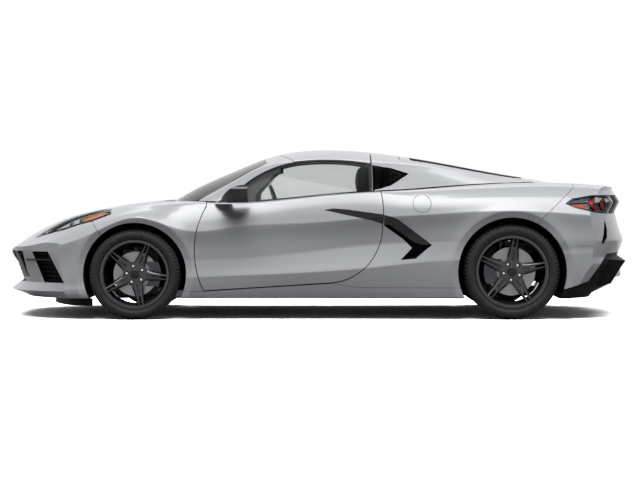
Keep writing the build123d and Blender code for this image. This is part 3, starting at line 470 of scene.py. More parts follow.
def rod_x(x0, x1, y, z, r, n=64):
    """Cylinder along the car."""
    a = [2 * math.pi * k / n for k in range(n)]
    return tube("rod", [[(x, y + r * math.cos(t), z + r * math.sin(t)) for t in a] for x in (x0, x1)])


def block(x0, x1, y0, y1, z0, z1, name="block"):
    return tube(name, [[(x0, y, z0), (x0, y, z1), (x1, y, z1), (x1, y, z0)] for y in (y0, y1)])


DOOR_REAR = [((360, 410), (453, 680)), ((459, 805), (420, 1000))]
DOOR = [(-826, 1000), (-826, 815), ((-905, 560), (-841, 206)), (95, 265), *DOOR_REAR]
FENDER = [(-1662, 1000), (-1655, 714), (-1582, 617), (-1560, 400), (-1000, 150), (-1000, 203),
          (-841, 203), ((-905, 560), (-826, 815)), (-826, 1000)]
SILL = [(-1000, 60), (-1000, 203), (-841, 203), (95, 262), (300, 230), (1060, 230), (1060, 60)]
BUMPER_FRONT = [(-2600, 60), (-2600, 1000), (-1662, 1000), (-1655, 714), (-1582, 617), (-1560, 400),
                (-1560, 60)]
BUMPER_REAR = [(1837, 1100), (1837, 950), (1594, 727), (1565, 680), (1565, 60), (2600, 60), (2600, 1100)]
DIFFUSER = [(1565, 60), (1565, 222), (1768, 222), (1937, 275), (2085, 474), (2600, 474), (2600, 60)]
QUARTER = [(420, 1100), (420, 1000), ((459, 805), (453, 680)), ((360, 410), (95, 262)), (300, 230),
           (1400, 230), (1565, 680), (1594, 727), (1837, 950), (1837, 1100)]
SIDE_INTAKE = [(462, 756), (527, 740), (573, 717), (808, 540), (689, 440), (579, 430), (663, 517), (598, 582),
               (462, 678)]
BLADE = [(462, 756), (527, 740), (573, 717), (808, 540), (734, 540), (676, 559), (495, 685), (462, 682)]
DOOR_BLADE = [(25, 791), (95, 802), (199, 794), (480, 756), (480, 680), (379, 714)]
DOOR_GLASS = [(-535, 700), (-548, 972), ((-370, 1080), (-172, 1134)), ((105, 1146), (372, 1118)), (372, 785)]
B_POST = [(374, 916), (374, 1118), (400, 1112), (400, 926)]
QUARTER_GLASS = [(384, 928), (384, 1115), (520, 1094), (648, 1053), (515, 968)]
TAIL_LAMP = [(1770, 837), (1820, 872), (1969, 896), (2600, 896), (2600, 764), (2067, 764), (1974, 775),
             (1831, 809)]
REAR_SLOT = [(2063, 722), (2081, 653), (2079, 587), (2055, 546), (2033, 546), (2052, 620)]
BONNET = [(-1985, 0), ((-1978, 200), (-1950, 385)), (-1885, 500), (-1600, 572), (-1310, 632), (-1215, 628),
          ((-1262, 320), (-1278, 0))]
COWL = [(-1270, 0), ((-1254, 320), (-1206, 636)), (-960, 690), (-960, 0)]
WINDSCREEN = [(-1140, 0), ((-1108, 360), (-1000, 612)), (-905, 668), (-640, 622), (-430, 574), (-396, 530),
              ((-412, 270), (-418, 0))]
ROOF_PANEL = [(-305, 0), ((-278, 300), (-190, 596)), (-190, 700), (374, 700), (374, 0)]
HATCH = [(590, 0), (590, 430), (618, 462), (1440, 500), (1700, 640), (2130, 640), (2400, 620), (2400, 0)]
HATCH_GLASS = [(672, 0), (672, 400), (700, 428), (1440, 452), (1500, 400), (1525, 0)]
HEADLAMP = [(-2092, 600), (-1900, 552), (-1660, 606), (-1516, 757), (-1516, 900), (-1900, 900), (-2060, 690)]
LAMP_FOOT = [(-2110, 578), (-2004, 608), (-1866, 644), (-1736, 686), (-1656, 706), (-1554, 744),
             (-1500, 764), (-1500, 900), (-2110, 900)]
INNER_INTAKE = [(150, 250), (560, 262), (548, 489), (430, 489), (150, 392)]
OUTER_INTAKE = [(650, 266), (1000, 262), (1000, 489), (592, 489)]
CORNER = [(-2600, 262), (-1845, 261), (-1972, 489), (-2600, 489)]
STRAKE = [(-2182, 500), (-2102, 500), (-1994, 250), (-2126, 250)]
PILLAR = [(540, 300), (668, 300), (606, 489.5), (540, 489.5)]
INTAKE_BAR = [(-2160, 432), (-1945, 434), (-1945, 424), (-2140, 422)]
FIN = [(1974, 219), (1960, 300), (2001, 311), (2066, 431), (2215, 422), (2112, 256)]

# ---------------------------------------------------------------- materials
def shaders(tree, *kinds):
    """A new node of each of these kinds."""
    return [tree.nodes.new("ShaderNode" + kind) for kind in kinds]


def fresh_tree(owner):
    """The emptied node tree of a material or world."""
    owner.use_nodes = True
    owner.node_tree.nodes.clear()
    return owner.node_tree


def material(name, colour, rough=0.5, metal=0.0, coat=0.0, vary=0.1, scale=30.0, grain=0.0, grain_scale=600.0,
             sheen=0.0, stretch=(1, 1, 1), cells=False, spec=0.5):
    """Principled material: noise in the object's own space varies its colour and, with grain, its surface."""
    m = bpy.data.materials.new(name)
    m.use_nodes = True
    tree = m.node_tree
    link = tree.links.new
    b = tree.nodes["Principled BSDF"]
    for key, value in (("Roughness", rough), ("Metallic", metal), ("Coat Weight", coat),
                       ("Coat Roughness", 0.04), ("Sheen Weight", sheen), ("Specular IOR Level", spec)):
        b.inputs[key].default_value = value
    coords, place, noise, ramp = shaders(tree, "TexCoord", "Mapping", "TexNoise", "ValToRGB")
    place.inputs["Scale"].default_value = stretch
    noise.inputs["Scale"].default_value, noise.inputs["Detail"].default_value = scale, 5.0
    for stop, share, at in zip(ramp.color_ramp.elements, (1 - vary, 1 + vary), (0.3, 0.7)):
        stop.position, stop.color = at, (*[c * share for c in colour], 1)
    link(coords.outputs["Object"], place.inputs["Vector"])
    link(place.outputs[0], noise.inputs["Vector"])
    link(noise.outputs["Fac"], ramp.inputs[0])
    link(ramp.outputs[0], b.inputs["Base Color"])
    if grain:
        fine, bump = shaders(tree, "TexVoronoi" if cells else "TexNoise", "Bump")
        fine.inputs["Scale"].default_value = grain_scale
        bump.inputs["Strength"].default_value, bump.inputs["Distance"].default_value = grain, 0.0006
        link(place.outputs[0], fine.inputs["Vector"])
        link(fine.outputs["Distance" if cells else "Fac"], bump.inputs["Height"])
        link(bump.outputs[0], b.inputs["Normal"])
    return m


def see_through(name, tint, vary=0.03, ior=1.45):
    """Clear or tinted sheet: a tint that lets light pass, with more gloss the flatter it is seen."""
    m = bpy.data.materials.new(name)
    tree = fresh_tree(m)
    link = tree.links.new
    out, mix, fresnel, clear, gloss, coords, noise, ramp = shaders(
        tree, "OutputMaterial", "MixShader", "Fresnel", "BsdfTransparent", "BsdfGlossy", "TexCoord",
        "TexNoise", "ValToRGB")
    noise.inputs["Scale"].default_value = 4.0
    for stop, share in zip(ramp.color_ramp.elements, (1 - vary, 1 + vary)):
        stop.color = (*[min(1.0, c * share) for c in tint], 1)
    fresnel.inputs["IOR"].default_value = ior
    gloss.inputs["Roughness"].default_value = 0.02
    link(coords.outputs["Object"], noise.inputs["Vector"])
    link(noise.outputs["Fac"], ramp.inputs[0])
    link(ramp.outputs[0], clear.inputs["Color"])
    for k, part in enumerate((fresnel, clear, gloss)):
        link(part.outputs[0], mix.inputs[k])
    link(mix.outputs[0], out.inputs["Surface"])
    return m


paint = material("silver_paint", (0.5, 0.51, 0.54), 0.3, 0.02, 0.4, vary=0.05, scale=900)
gloss_black = material("gloss_black", (0.008, 0.009, 0.012), 0.12, coat=0.1, vary=0.3, scale=12, spec=0.25)
satin_black = material("satin_black", (0.009, 0.009, 0.01), 0.5, vary=0.25, scale=60, grain=0.35,
                       grain_scale=1400, spec=0.06)
liner_felt = material("liner_felt", (0.012, 0.012, 0.013), 0.9, vary=0.3, scale=300, grain=0.5,
                      grain_scale=1800, spec=0.2)
wheel_paint = material("wheel_paint", (0.022, 0.024, 0.03), 0.2, 0.15, 0.8, vary=0.15, scale=20, spec=0.3)
rubber = material("rubber", (0.036, 0.036, 0.037), 0.55, vary=0.25, scale=50, grain=0.3, grain_scale=700,
                  spec=0.2)
machined = material("machined_steel", (0.46, 0.46, 0.47), 0.34, 0.4, vary=0.12, scale=260,
                    stretch=(1, 0.2, 1))
dark_steel = material("dark_steel", (0.06, 0.062, 0.068), 0.42, 0.8, vary=0.3, scale=35, grain=0.3,
                      grain_scale=300)
cast_alloy = material("cast_alloy", (0.26, 0.265, 0.28), 0.5, 0.85, vary=0.2, scale=45, grain=0.5,
                      grain_scale=420)
chrome = material("chrome", (0.75, 0.76, 0.78), 0.08, 1.0, vary=0.04, scale=40)
tip_steel = material("polished_steel", (0.55, 0.56, 0.58), 0.14, 1.0, vary=0.08, scale=60)
leather = material("leather", (0.028, 0.028, 0.031), 0.48, vary=0.25, scale=90, grain=0.55, grain_scale=520,
                   cells=True, sheen=0.1)
moulded = material("moulded_trim", (0.03, 0.03, 0.033), 0.55, vary=0.2, scale=70, grain=0.4, grain_scale=900,
                   cells=True)
screen_glass = material("screen_glass", (0.006, 0.007, 0.01), 0.05, coat=0.5, vary=0.3, scale=8)
amber = material("amber_lens", (0.78, 0.2, 0.03), 0.25, vary=0.22, scale=120, spec=0.15)
red = material("red_lens", (0.4, 0.004, 0.008), 0.2, vary=0.25, scale=90, spec=0.15)
orange = material("orange_lens", (0.66, 0.09, 0.022), 0.25, vary=0.15, scale=110, spec=0.15)
smoke_lens = material("smoke_lens", (0.045, 0.066, 0.1), 0.2, vary=0.2, scale=70, spec=0.15)
white_lens = material("white_lens", (0.6, 0.62, 0.62), 0.2, vary=0.08, scale=90, spec=0.2)
lamp_chrome = material("lamp_reflector", (0.5, 0.52, 0.55), 0.14, 0.9, vary=0.25, scale=140,
                       stretch=(3, 1, 0.4))
tinted = see_through("tinted_glass", (0.84, 0.85, 0.85), ior=1.15)
screen_tint = see_through("windscreen_glass", (0.6, 0.62, 0.62), ior=1.3)
dark_glass = see_through("dark_tinted_glass", (0.2, 0.21, 0.22), ior=1.08)
hatch_tint = see_through("hatch_tinted_glass", (0.2, 0.21, 0.22), ior=1.003)
clear_cover = see_through("lamp_cover", (0.94, 0.95, 0.96), ior=1.04)

LOOK = {}                     # what a CAD node that stays visible is made of
for mat, names in ((satin_black, "air_dam floor_pan rear_diffuser"),
                   (gloss_black, "mirror_left mirror_right"),
                   (liner_felt, "wheel_liners luggage_tubs"), (moulded, "dashboard console cabin_tub"),
                   (cast_alloy, "engine gearbox"), (tip_steel, "exhaust"), (leather, "steering_wheel seats"),
                   (dark_steel, "front_suspension rear_suspension half_shafts knuckle_left knuckle_right")):
    for n in names.split():
        LOOK[n] = mat
for start, mat in (("brake_disc", machined), ("tyre", rubber), ("wheel_", wheel_paint)):
    for n in nodes:
        if n.startswith(start):
            LOOK.setdefault(n, mat)

SHARP = math.radians(32)      # faces that meet at more than this stay creased
body_of = {n: b for b, members in frame["record"]["behaviour"]["bodies"].items() for n in members}
shown = set()


def trim_inside_shade_underside(obj):
    """Dark trim on faces that look into the car, and painted shade on faces that look down near the road."""
    obj.data.materials.append(moulded)
    for p in obj.data.polygons:
        x, y, z = p.center
        outward = Vector((0.15 * x, y, z - 0.5)).normalized()
        # faces looking down near the road take the dark trim as painted shade under the body
        if p.normal.dot(outward) < -0.35 or (p.normal.z < -0.94 and z < 0.2):
            p.material_index = 1


def add(node, mat, *objs):
    """These objects stand for a CAD node, in this material."""
    for o in objs:
        o.data.materials.clear()
        o.data.materials.append(mat)
        for p in o.data.polygons:
            p.use_smooth, p.material_index = True, 0
        if mat is paint:
            trim_inside_shade_underside(o)
        o.data.set_sharp_from_angle(angle=SHARP)
        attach(o, body_of[node])
        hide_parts(node)
        shown.add(o)


# ---------------------------------------------------------------- panels
PANEL, GLASS, COVER = 25.0, 6.0, 3.0       # how thick skins, panes and lamp covers are
SEAM, LID_SEAM = 1.5, 3.0                  # half the gap between panels, and a lid's cut from its line
LENS, BED, GRILLE, GRILLE_BACK = 7.0, 14.0, 34.0, 46.0      # depths under the skin
LAMP_IN = 430.0                            # the lamps' inboard end


def outer_body(grow, step):
    """The lower body within its nose and tail, moved outwards by grow."""
    return keep(lower_solid(grow, step), plan_solid(NOSE_LEVELS, -1, grow, "nose"),
                plan_solid(TAIL_LEVELS, 1, grow, "tail"))


STEP = 14.0
lower, lower_inner = outer_body(0, STEP), outer_body(-PANEL, 40.0)
cabin, cabin_inner = cabin_solid(0, step=STEP), cabin_solid(-PANEL, step=30.0)
shell = join(copy_of(lower, "shell"), cabin)
cut(shell, join(copy_of(lower_inner, "whole_inner"), cabin_inner))
for ax, az, ar in AXLES:
    cut(shell, barrel(ax, az, ar, -FAR, -500), barrel(ax, az, ar, 500, FAR))
cabin_gap = cabin_solid(3.0, step=30.0)
depths = {d: outer_body(-d, STEP if d < 20 else 24.0) for d in (COVER, LENS, BED, GRILLE, GRILLE_BACK)}


def panel(name, source, inside=(), outside=()):
    """Piece of source inside every one of the first cutters and outside every one of the others."""
    return biggest(cut(keep(copy_of(source, name), *inside), *outside))


def flare(obj, axle):
    """Cuts the band round an arch off a panel and turns it in towards the wheel, to meet at a crease."""
    ax, az, ar = axle
    disc = barrel(ax, az, ar + BAND, -FAR, FAR)
    ring = keep(copy_of(obj, obj.name.replace("skin", "flare")), disc)
    cut(obj, disc)
    for v in ring.data.vertices:
        x, y, z = v.co * 1000
        if abs(y) > 500:
            t = max(0.0, min(1.0, (ar + BAND - math.hypot(x - ax, z - az)) / BAND))
            v.co.y -= math.copysign(TURN_IN * t / 1000, y)
    return ring


def add_both(node, mat, left, right_node=None):
    """A left-hand piece and its mirror image, in one node or in a node each."""
    right = mirrored(left, left.name.replace("left", "right"))
    add(node, mat, left)
    add(right_node or node, mat, right)
    return right


def head_opening(inset):
    """The headlamp's outline from above, with its foot cut along its line in the side view."""
    return keep(plan_prism(HEADLAMP, 400, -inset), side_prism(LAMP_FOOT, LAMP_IN, grow=-inset))


def tail_opening(inset):
    """The tail lamp's outline, in the side view."""
    return side_prism(TAIL_LAMP, LAMP_IN, grow=-inset)


def intake_holes(grow=0.0):
    """Cutters of the nose's two openings on the left: the outer one is split by the strake."""
    inner = front_prism(INNER_INTAKE, -1900, grow)
    outer = keep(front_prism(OUTER_INTAKE, -1600, grow), side_prism(CORNER, 500, grow=grow))
    return inner, cut(outer, side_prism(STRAKE, 500, grow=-grow))


bonnet_hole, hatch_hole = top_prism(BONNET, 400, LID_SEAM), top_prism(HATCH, 899, LID_SEAM)
lamp_hole, tail_lamp_hole = head_opening(-SEAM), tail_opening(-SEAM)
cowl_hole, roof_hole = top_prism(COWL, 400, SEAM), top_prism(ROOF_PANEL, 1000, LID_SEAM)

add("bonnet", paint, panel("skin_bonnet", shell, [top_prism(BONNET, 400, -LID_SEAM)]))
holes = intake_holes()
front_bumper = panel("skin_front_bumper", shell, [across_prism(BUMPER_FRONT, -SEAM)],
                     [bonnet_hole, *pair(lamp_hole), *holes, *[mirrored(h, "hole_right") for h in holes]])
# the pillars between the nose openings go gloss black: painted shade standing in for the dark openings
shaded_pillar_zone = join(*pair(front_prism(PILLAR, -1900)))
add("front_bumper", gloss_black, keep(copy_of(front_bumper, "intake_pillars"), shaded_pillar_zone))
cut(front_bumper, shaded_pillar_zone)
add("front_bumper", paint, flare(front_bumper, AXLES[0]), front_bumper)
SLAT, SLAT_PITCH = 8.0, 32.0
for name, hole, wide_hole in zip(("inner", "outer"), holes, intake_holes(5.0)):
    grille = cut(keep(copy_of(depths[GRILLE], f"grille_{name}_left"), wide_hole), depths[GRILLE_BACK])
    join(grille, cut(keep(copy_of(depths[COVER]), wide_hole), hole, depths[GRILLE_BACK]))
    for z in np.arange(276, 480, SLAT_PITCH):
        corners = ((AHEAD, z), (-1500, z), (-1500, z + SLAT), (AHEAD, z + SLAT))
        slab = tube("slab", [[(x, y, up) for x, up in corners] for y in (-1000, -100)])
        join(grille, cut(keep(copy_of(depths[BED]), hole, slab), depths[GRILLE]))
    add_both("front_intakes", satin_black, grille)
bar = keep(outer_body(5.0, 24.0), side_prism(INTAKE_BAR, 560))
add_both("front_intakes", gloss_black, panel("intake_bar_left", bar, [], [depths[GRILLE]]))
fender = panel("skin_fender_left", shell, [side_prism(FENDER, 380, grow=-SEAM)],
               [bonnet_hole, lamp_hole, cabin_gap, cowl_hole])
add_both("front_fenders", paint, flare(fender, AXLES[0]))
add_both("front_fenders", paint, fender)
add("cowl", satin_black, panel("skin_cowl", shell, [top_prism(COWL, 500, -SEAM)], [bonnet_hole, cabin_gap]))

DOOR_IN, DOOR_SEAM = 786.0, 4.5
door = panel("skin_door_left", lower, [side_prism(DOOR, DOOR_IN, grow=-DOOR_SEAM)],
             [side_prism(DOOR_BLADE, 825)])
slot = cut(cabin_solid(4.0), cabin_solid(-10.0))         # where the glass comes up
biggest(cut(door, slot))
armrest = side_prism([(-430, 545), (-330, 625), (130, 655), (180, 575), (60, 545)], 744, 800)
add_both("door_left", paint, join(door, armrest), "door_right")
add_both("door_blade_left", gloss_black,
         panel("blade_door_left", lower,
               [side_prism(DOOR, DOOR_IN, grow=-DOOR_SEAM), side_prism(DOOR_BLADE, 826, grow=-SEAM)], [slot]),
         "door_blade_right")


# ---------------------------------------------------------------- glass, roof and their trims
def cabin_layer(top, bottom):
    """Layer of the cabin between two depths."""
    return cut(cabin_solid(-top, step=STEP), cabin_solid(-bottom, step=STEP))


FRIT, TRIM, SEAL = (GLASS + 0.2, GLASS + 1.7), (GLASS + 1.8, 30.0), (2.0, 22.0)      # depths of the layers
pane = cut(copy_of(cabin, "pane"), cabin_solid(-GLASS, step=STEP))
frit, trim_layer, seal_layer = cabin_layer(*FRIT), cabin_layer(*TRIM), cabin_layer(*SEAL)
add_both("door_glass_left", tinted, panel("pane_door_left", pane, [side_prism(DOOR_GLASS)]),
         "door_glass_right")
add_both("quarter_glass", dark_glass,
         panel("pane_quarter_left", pane, [side_prism(QUARTER_GLASS, grow=-SEAM)]))
add("windscreen", screen_tint, panel("pane_windscreen", pane, [top_prism(WINDSCREEN, 780, -SEAM)]))
add_both("door_glass_left", screen_glass,
         panel("frit_door_left", frit, [side_prism(DOOR_GLASS, grow=-1)], [side_prism(DOOR_GLASS, grow=-15)]),
         "door_glass_right")
add("windscreen", screen_glass,
    panel("frit_windscreen", frit, [top_prism(WINDSCREEN, 780, -3)], [top_prism(WINDSCREEN, 700, -34)]))
add("hatch_glass", hatch_tint, panel("pane_hatch", pane, [top_prism(HATCH_GLASS, 900, -SEAM)]))

roof_shell = cut(copy_of(cabin, "roof_shell"), cabin_inner, outer_body(6.0, 30.0))
glass_outline = [(-560, 600), *DOOR_GLASS[1:-1], (372, 600)]
glass_hole, seal_hole, seal_outer, seal_inner, pillar_edge = (
    side_prism(glass_outline, grow=g) for g in (6, 11, 11.5, 1.5, 8))
screen_hole, quarter_hole = top_prism(WINDSCREEN, 700, SEAM), side_prism(QUARTER_GLASS, grow=SEAM)
front_frame = top_prism([(-1200, 0), (-1200, 800), (-180, 800), (-180, 0)], 700)
rear_frame = top_prism([(380, 0), (380, 900), (1900, 900), (1900, 0)], 860)
front_of_roof = side_prism([(-900, 700), (-900, 1300), (-290, 1300), (-290, 700)])
over_door = side_prism([(-282, 1000), (-282, 1300), (373, 1300), (373, 1000)])
clear_view = side_prism([(-470, 600), (-470, 900), (-330, 1050), (-200, 1080), (-200, 600)])
add("windscreen_frame", paint,
    panel("skin_windscreen_frame", roof_shell, [front_frame], [roof_hole, screen_hole, *pair(glass_hole)]))
add("roof_panel", paint,
    panel("skin_roof_panel", roof_shell, [top_prism(ROOF_PANEL, 1090, -LID_SEAM)], pair(seal_hole)))
add_both("roof_panel", rubber, panel("seal_roof_left", seal_layer, [seal_outer, over_door], [seal_inner]))
add_both("windscreen_frame", rubber,
         panel("seal_pillar_left", seal_layer, [pillar_edge, front_of_roof], [seal_inner]))
add_both("windscreen_frame", moulded,
         panel("trim_pillar_left", trim_layer, [pillar_edge, front_of_roof], [clear_view]))
add_both("quarter_glass", rubber, panel("seal_quarter_left", trim_layer, [side_prism(B_POST)]))
add("rear_roof", paint, panel("skin_rear_roof", roof_shell, [rear_frame], [hatch_hole, *pair(quarter_hole)]))

# ---------------------------------------------------------------- sides and tail
FLAP_X, FLAP_Z, FLAP_RADIUS = 736, 838, 65.0
quarter = panel("skin_quarter_left", shell, [side_prism(QUARTER, grow=-SEAM)],
                [cabin_gap, hatch_hole, side_prism(SIDE_INTAKE, 700)])
add_both("rear_quarters", paint, flare(quarter, AXLES[1]))
add("rear_quarters", paint, mirrored(quarter, "skin_quarter_right"))
flap, flap_hole = (barrel(FLAP_X, FLAP_Z, FLAP_RADIUS + g, -FAR, -700) for g in (-SEAM, SEAM))
add("fuel_flap", paint, panel("skin_fuel_flap", quarter, [flap]))
add("rear_quarters", paint, biggest(cut(quarter, flap_hole)))
sill = panel("skin_sill_left", shell, [side_prism(SILL, 620, grow=-SEAM)])
for axle, end in zip(AXLES, ("front", "rear")):
    band = flare(sill, axle)
    band.name = f"flare_sill_{end}_left"
    add_both("side_sills", paint, band)
add_both("side_sills", paint, sill)


def duct(envelope, steps, y_in, y_floor, lip, name):
    """Tray behind an opening in the left side, out to envelope: its walls stand lip inside the outline."""
    tray = cut(side_prism(steps, y_in, grow=12), side_prism(steps, y_floor, grow=-lip))
    tray.name = name
    return biggest(keep(tray, envelope))


add_both("side_intakes", gloss_black,
         panel("blade_quarter_left", shell, [side_prism(BLADE, 700, grow=-SEAM)]))
add_both("side_intakes", satin_black, duct(lower_inner, SIDE_INTAKE, 778, 800, 6, "intake_duct_left"))

PLATE_X, PLATE_HALF, PLATE_ZS, PLATE_RIM = 2205.0, 262.0, (590.0, 702.0), 8
rear_bumper = panel("skin_rear_bumper", shell, [across_prism(BUMPER_REAR, -SEAM)],
                    [across_prism(DIFFUSER, SEAM), hatch_hole, cabin_gap, *pair(tail_lamp_hole),
                     *pair(side_prism(REAR_SLOT, 640))])
tray = block(PLATE_X - 2 * PLATE_RIM, 2400, -PLATE_HALF - PLATE_RIM, PLATE_HALF + PLATE_RIM,
             PLATE_ZS[0] - PLATE_RIM, PLATE_ZS[1] + PLATE_RIM)
join(rear_bumper, keep(tray, lower))
biggest(cut(rear_bumper, block(PLATE_X, 2400, -PLATE_HALF, PLATE_HALF, *PLATE_ZS)))
add("rear_bumper", paint, flare(rear_bumper, AXLES[1]), rear_bumper)
add_both("rear_bumper", satin_black, duct(lower_inner, REAR_SLOT, 630, 640, 0, "slot_tray_left"))
diffuser = panel("skin_diffuser", shell, [across_prism(DIFFUSER, -SEAM)],
                 [rod_x(1800, 2600, y, 350, 56) for y in (-735, -615, 615, 735)])
add("rear_diffuser", satin_black, flare(diffuser, AXLES[1]), diffuser)
add_both("rear_diffuser", satin_black, panel("diffuser_fin_left", side_prism(FIN, 790, 798)))
add("hatch", paint,
    panel("skin_hatch", shell, [top_prism(HATCH, 905, -LID_SEAM)], [top_prism(HATCH_GLASS, 900, SEAM)]))

# ---------------------------------------------------------------- lamps
# name, node, opening, how far the coloured pieces stay inside it, and these with their side views
HEAD = ("head", "headlamps", head_opening, 12, [
    (amber, [(-1736, 686), (-1714, 722), (-1656, 746), (-1569, 768), (-1540, 752), (-1641, 706)]),
    (lamp_chrome, [(-2090, 500), (-2090, 800), (-1800, 800), (-1858, 500)]),
    (lamp_chrome, [(-1808, 650), (-1782, 718), (-1752, 722), (-1750, 660)]),
    (lamp_chrome, [(-1752, 734), (-1620, 768), (-1620, 776), (-1752, 742)])])
TAIL = ("tail", "tail_lamps", tail_opening, 5, [
    (orange, [(1801, 829), (1897, 832), (1933, 794), (1842, 809)]),
    (smoke_lens, [(1779, 840), (1820, 870), (1969, 889), (1930, 843), (1798, 836)]),
    (red, [(1930, 845), (1993, 884), (1974, 837), (2023, 782), (1996, 776), (1947, 826)]),
    (red, [(2023, 837), (2062, 873), (2057, 831), (2084, 779), (2062, 782), (2046, 793)]),
    (white_lens, [(1993, 884), (2048, 875), (2018, 843), (1985, 843)]),
    (white_lens, [(2067, 870), (2106, 861), (2078, 837)])])
for name, node, opening, *_ in (HEAD, TAIL):
    around = opening(SEAM)
    add_both(node, clear_cover, panel(f"cover_{name}_left", lower, [around], [depths[COVER]]))
    add_both(node, gloss_black, panel(f"bed_{name}_left", depths[BED], [around], [lower_inner]))
    add_both(node, gloss_black,
             panel(f"edge_{name}_left", depths[COVER], [around], [opening(9), depths[BED]]))
for name, node, opening, inset, pieces in (HEAD, TAIL):
    for k, (mat, steps) in enumerate(pieces):
        add_both(node, mat, panel(f"lamp_{name}_{k}_left", depths[LENS], [opening(inset), side_prism(steps)],
                                  [depths[BED]]))

# ---------------------------------------------------------------- wheels
WHEELS = {  # axle: x, height, half the track, rim half-width and radius, tyre half-width, first spoke's angle
    "front": (-1337.0, 327.0, 824.0, 108.0, 241.3, 122.5, 66.0),
    "rear": (1386.0, 345.5, 793.0, 139.5, 254.0, 152.5, 84.0)}
NUT_CIRCLE, NOTCH = 60.0, 3.5                  # radius of the ring of nuts, depth of the shoulder's notches
#    radius, half the slot, half the spoke's width
TWIN_SPOKE = np.array([(28, 1.5, 38), (75, 2, 41), (110, 3, 37), (150, 5, 32), (190, 7.5, 27.5),
                       (225, 8.5, 24.5), (262, 9, 24)], float)
BARS = ((1, False), (-1, False), (1, True))    # of a twin spoke: side of the slot, and whether it is the web


def turned(name, profile, seg=144, radius_at=None):
    """Solid turned about the Y axis through a closed outline of (outboard distance, radius) points."""
    rings = []
    for k in range(seg):
        t = 2 * math.pi * k / seg
        rows = profile if radius_at is None else radius_at(k, profile)
        rings.append([(r * math.cos(t), -w, r * math.sin(t)) for w, r in rows])
    n = len(profile)
    verts = np.array(rings).reshape(-1, 3)
    faces = [(i * n + j, i * n + (j + 1) % n, ((i + 1) % seg) * n + (j + 1) % n, ((i + 1) % seg) * n + j)
             for i in range(seg) for j in range(n)]
    obj = mesh_object(name, verts, faces)
    with edited(obj) as bm:
        bmesh.ops.remove_doubles(bm, verts=bm.verts, dist=1e-6)
        bmesh.ops.dissolve_degenerate(bm, edges=bm.edges, dist=1e-6)
        bmesh.ops.recalc_face_normals(bm, faces=bm.faces)
    return obj


def spoke_half(side, angle, half, radius, web=False):
    """One bar of a twin spoke, or the web between the two: sections from the hub to the rim."""
    size = radius / WHEELS["front"][4]
    c, s = math.cos(angle), math.sin(angle)
    rings = []
    ends = (34, 120 * size) if web else (30, radius - 6)
    for r in np.linspace(*ends, 8 if web else 26):
        slot, wide = (np.interp(r / size, TWIN_SPOKE[:, 0], TWIN_SPOKE[:, k]) * size for k in (1, 2))
        face = half + np.interp(r, (40, 82, 120, radius - 60, radius - 4), (-50, -52, -43, -30, -13))
        back = half + np.interp(r, (90, 130, radius - 40, radius - 10), (-77, -67, -54, -48))
        flank = np.interp(r, (60, 120, radius), (5, 15, 11))
        if web:
            section = [(-slot - 4, back), (slot + 4, back), (slot + 4, face - 12), (-slot - 4, face - 12)]
        else:
            step = wide - slot
            section = [(slot, back), (slot, face - 4), (slot + 0.1 * step, face - 0.5),
                       (slot + 0.34 * step, face), (slot + 0.5 * step, face - 1.5), (wide - 2, face - flank),
                       (wide, face - flank - 3), (wide - 3, back)]
        rings.append([(r * c - side * t * s, -w, r * s + side * t * c) for t, w in section])
    return tube("bar", rings)


def at_wheel(axle, kind, mat, obj):
    """Puts a piece built about the origin at the left-hand wheel, and its mirror image on the right."""
    x, z, track = WHEELS[axle][:3]
    add_both(f"{kind}_{axle}_left", mat, moved(obj, x, -track, z), f"{kind}_{axle}_right")


def wheel(axle):
    """Barrel, five twin spokes and hub in one, then nuts and cap as pieces of their own."""
    half, r, _, first = WHEELS[axle][3:]

    def inwards(*rows, side=1, radius=0):
        """Outline points from (depth behind the face, rise above the radius)."""
        return [(side * (half - depth), radius + rise) for depth, rise in rows]

    body = turned(f"rim_{axle}_left", [
        *inwards((0, -8), (0, 8), (3, 11), (8, 11), (14, -1), (60, -6), (90, -22), radius=r),
        *inwards((60, -22), (40, -6), (14, -1), (8, 11), (0, 11), (0, -9), (30, -14), (62, -30), side=-1,
                 radius=r),
        *inwards((94, -30), (64, -15), (34, -13), (32, -7), (6, -5), (3, -9), radius=r)])
    join(body, turned("hub", inwards((78, 0), (78, 86), (60, 88), (53, 84), (51, 78), (51, 36), (53, 34),
                                     (53, 0)), 96))
    for k in range(5):
        angle = math.radians(first + 72 * k)
        join(body, *[spoke_half(side, angle, half, r, web) for side, web in BARS])
    nuts = []
    for k in range(5):
        angle = math.radians(first + 36 + 72 * k)
        spot = (NUT_CIRCLE * math.cos(angle), 0, NUT_CIRCLE * math.sin(angle))
        pocket = turned("pocket", inwards((66, 0), (66, 17), (40, 19.5), (40, 0)), 32)
        cut(body, moved(pocket, *spot))
        nut = inwards((67, 0), (67, 12), (55, 12), (52, 10.5), (48, 7), (46, 0))
        nuts.append(moved(turned(f"nuts_{axle}_left", nut, 24), *spot))
    cap = turned(f"cap_{axle}_left", inwards((56, 0), (56, 33), (49, 33), (46.5, 30), (45, 20),
                                             (44.5, 0)), 64)
    for o, mat in ((body, wheel_paint), (join(*nuts), chrome), (cap, gloss_black)):
        at_wheel(axle, "wheel", mat, o)


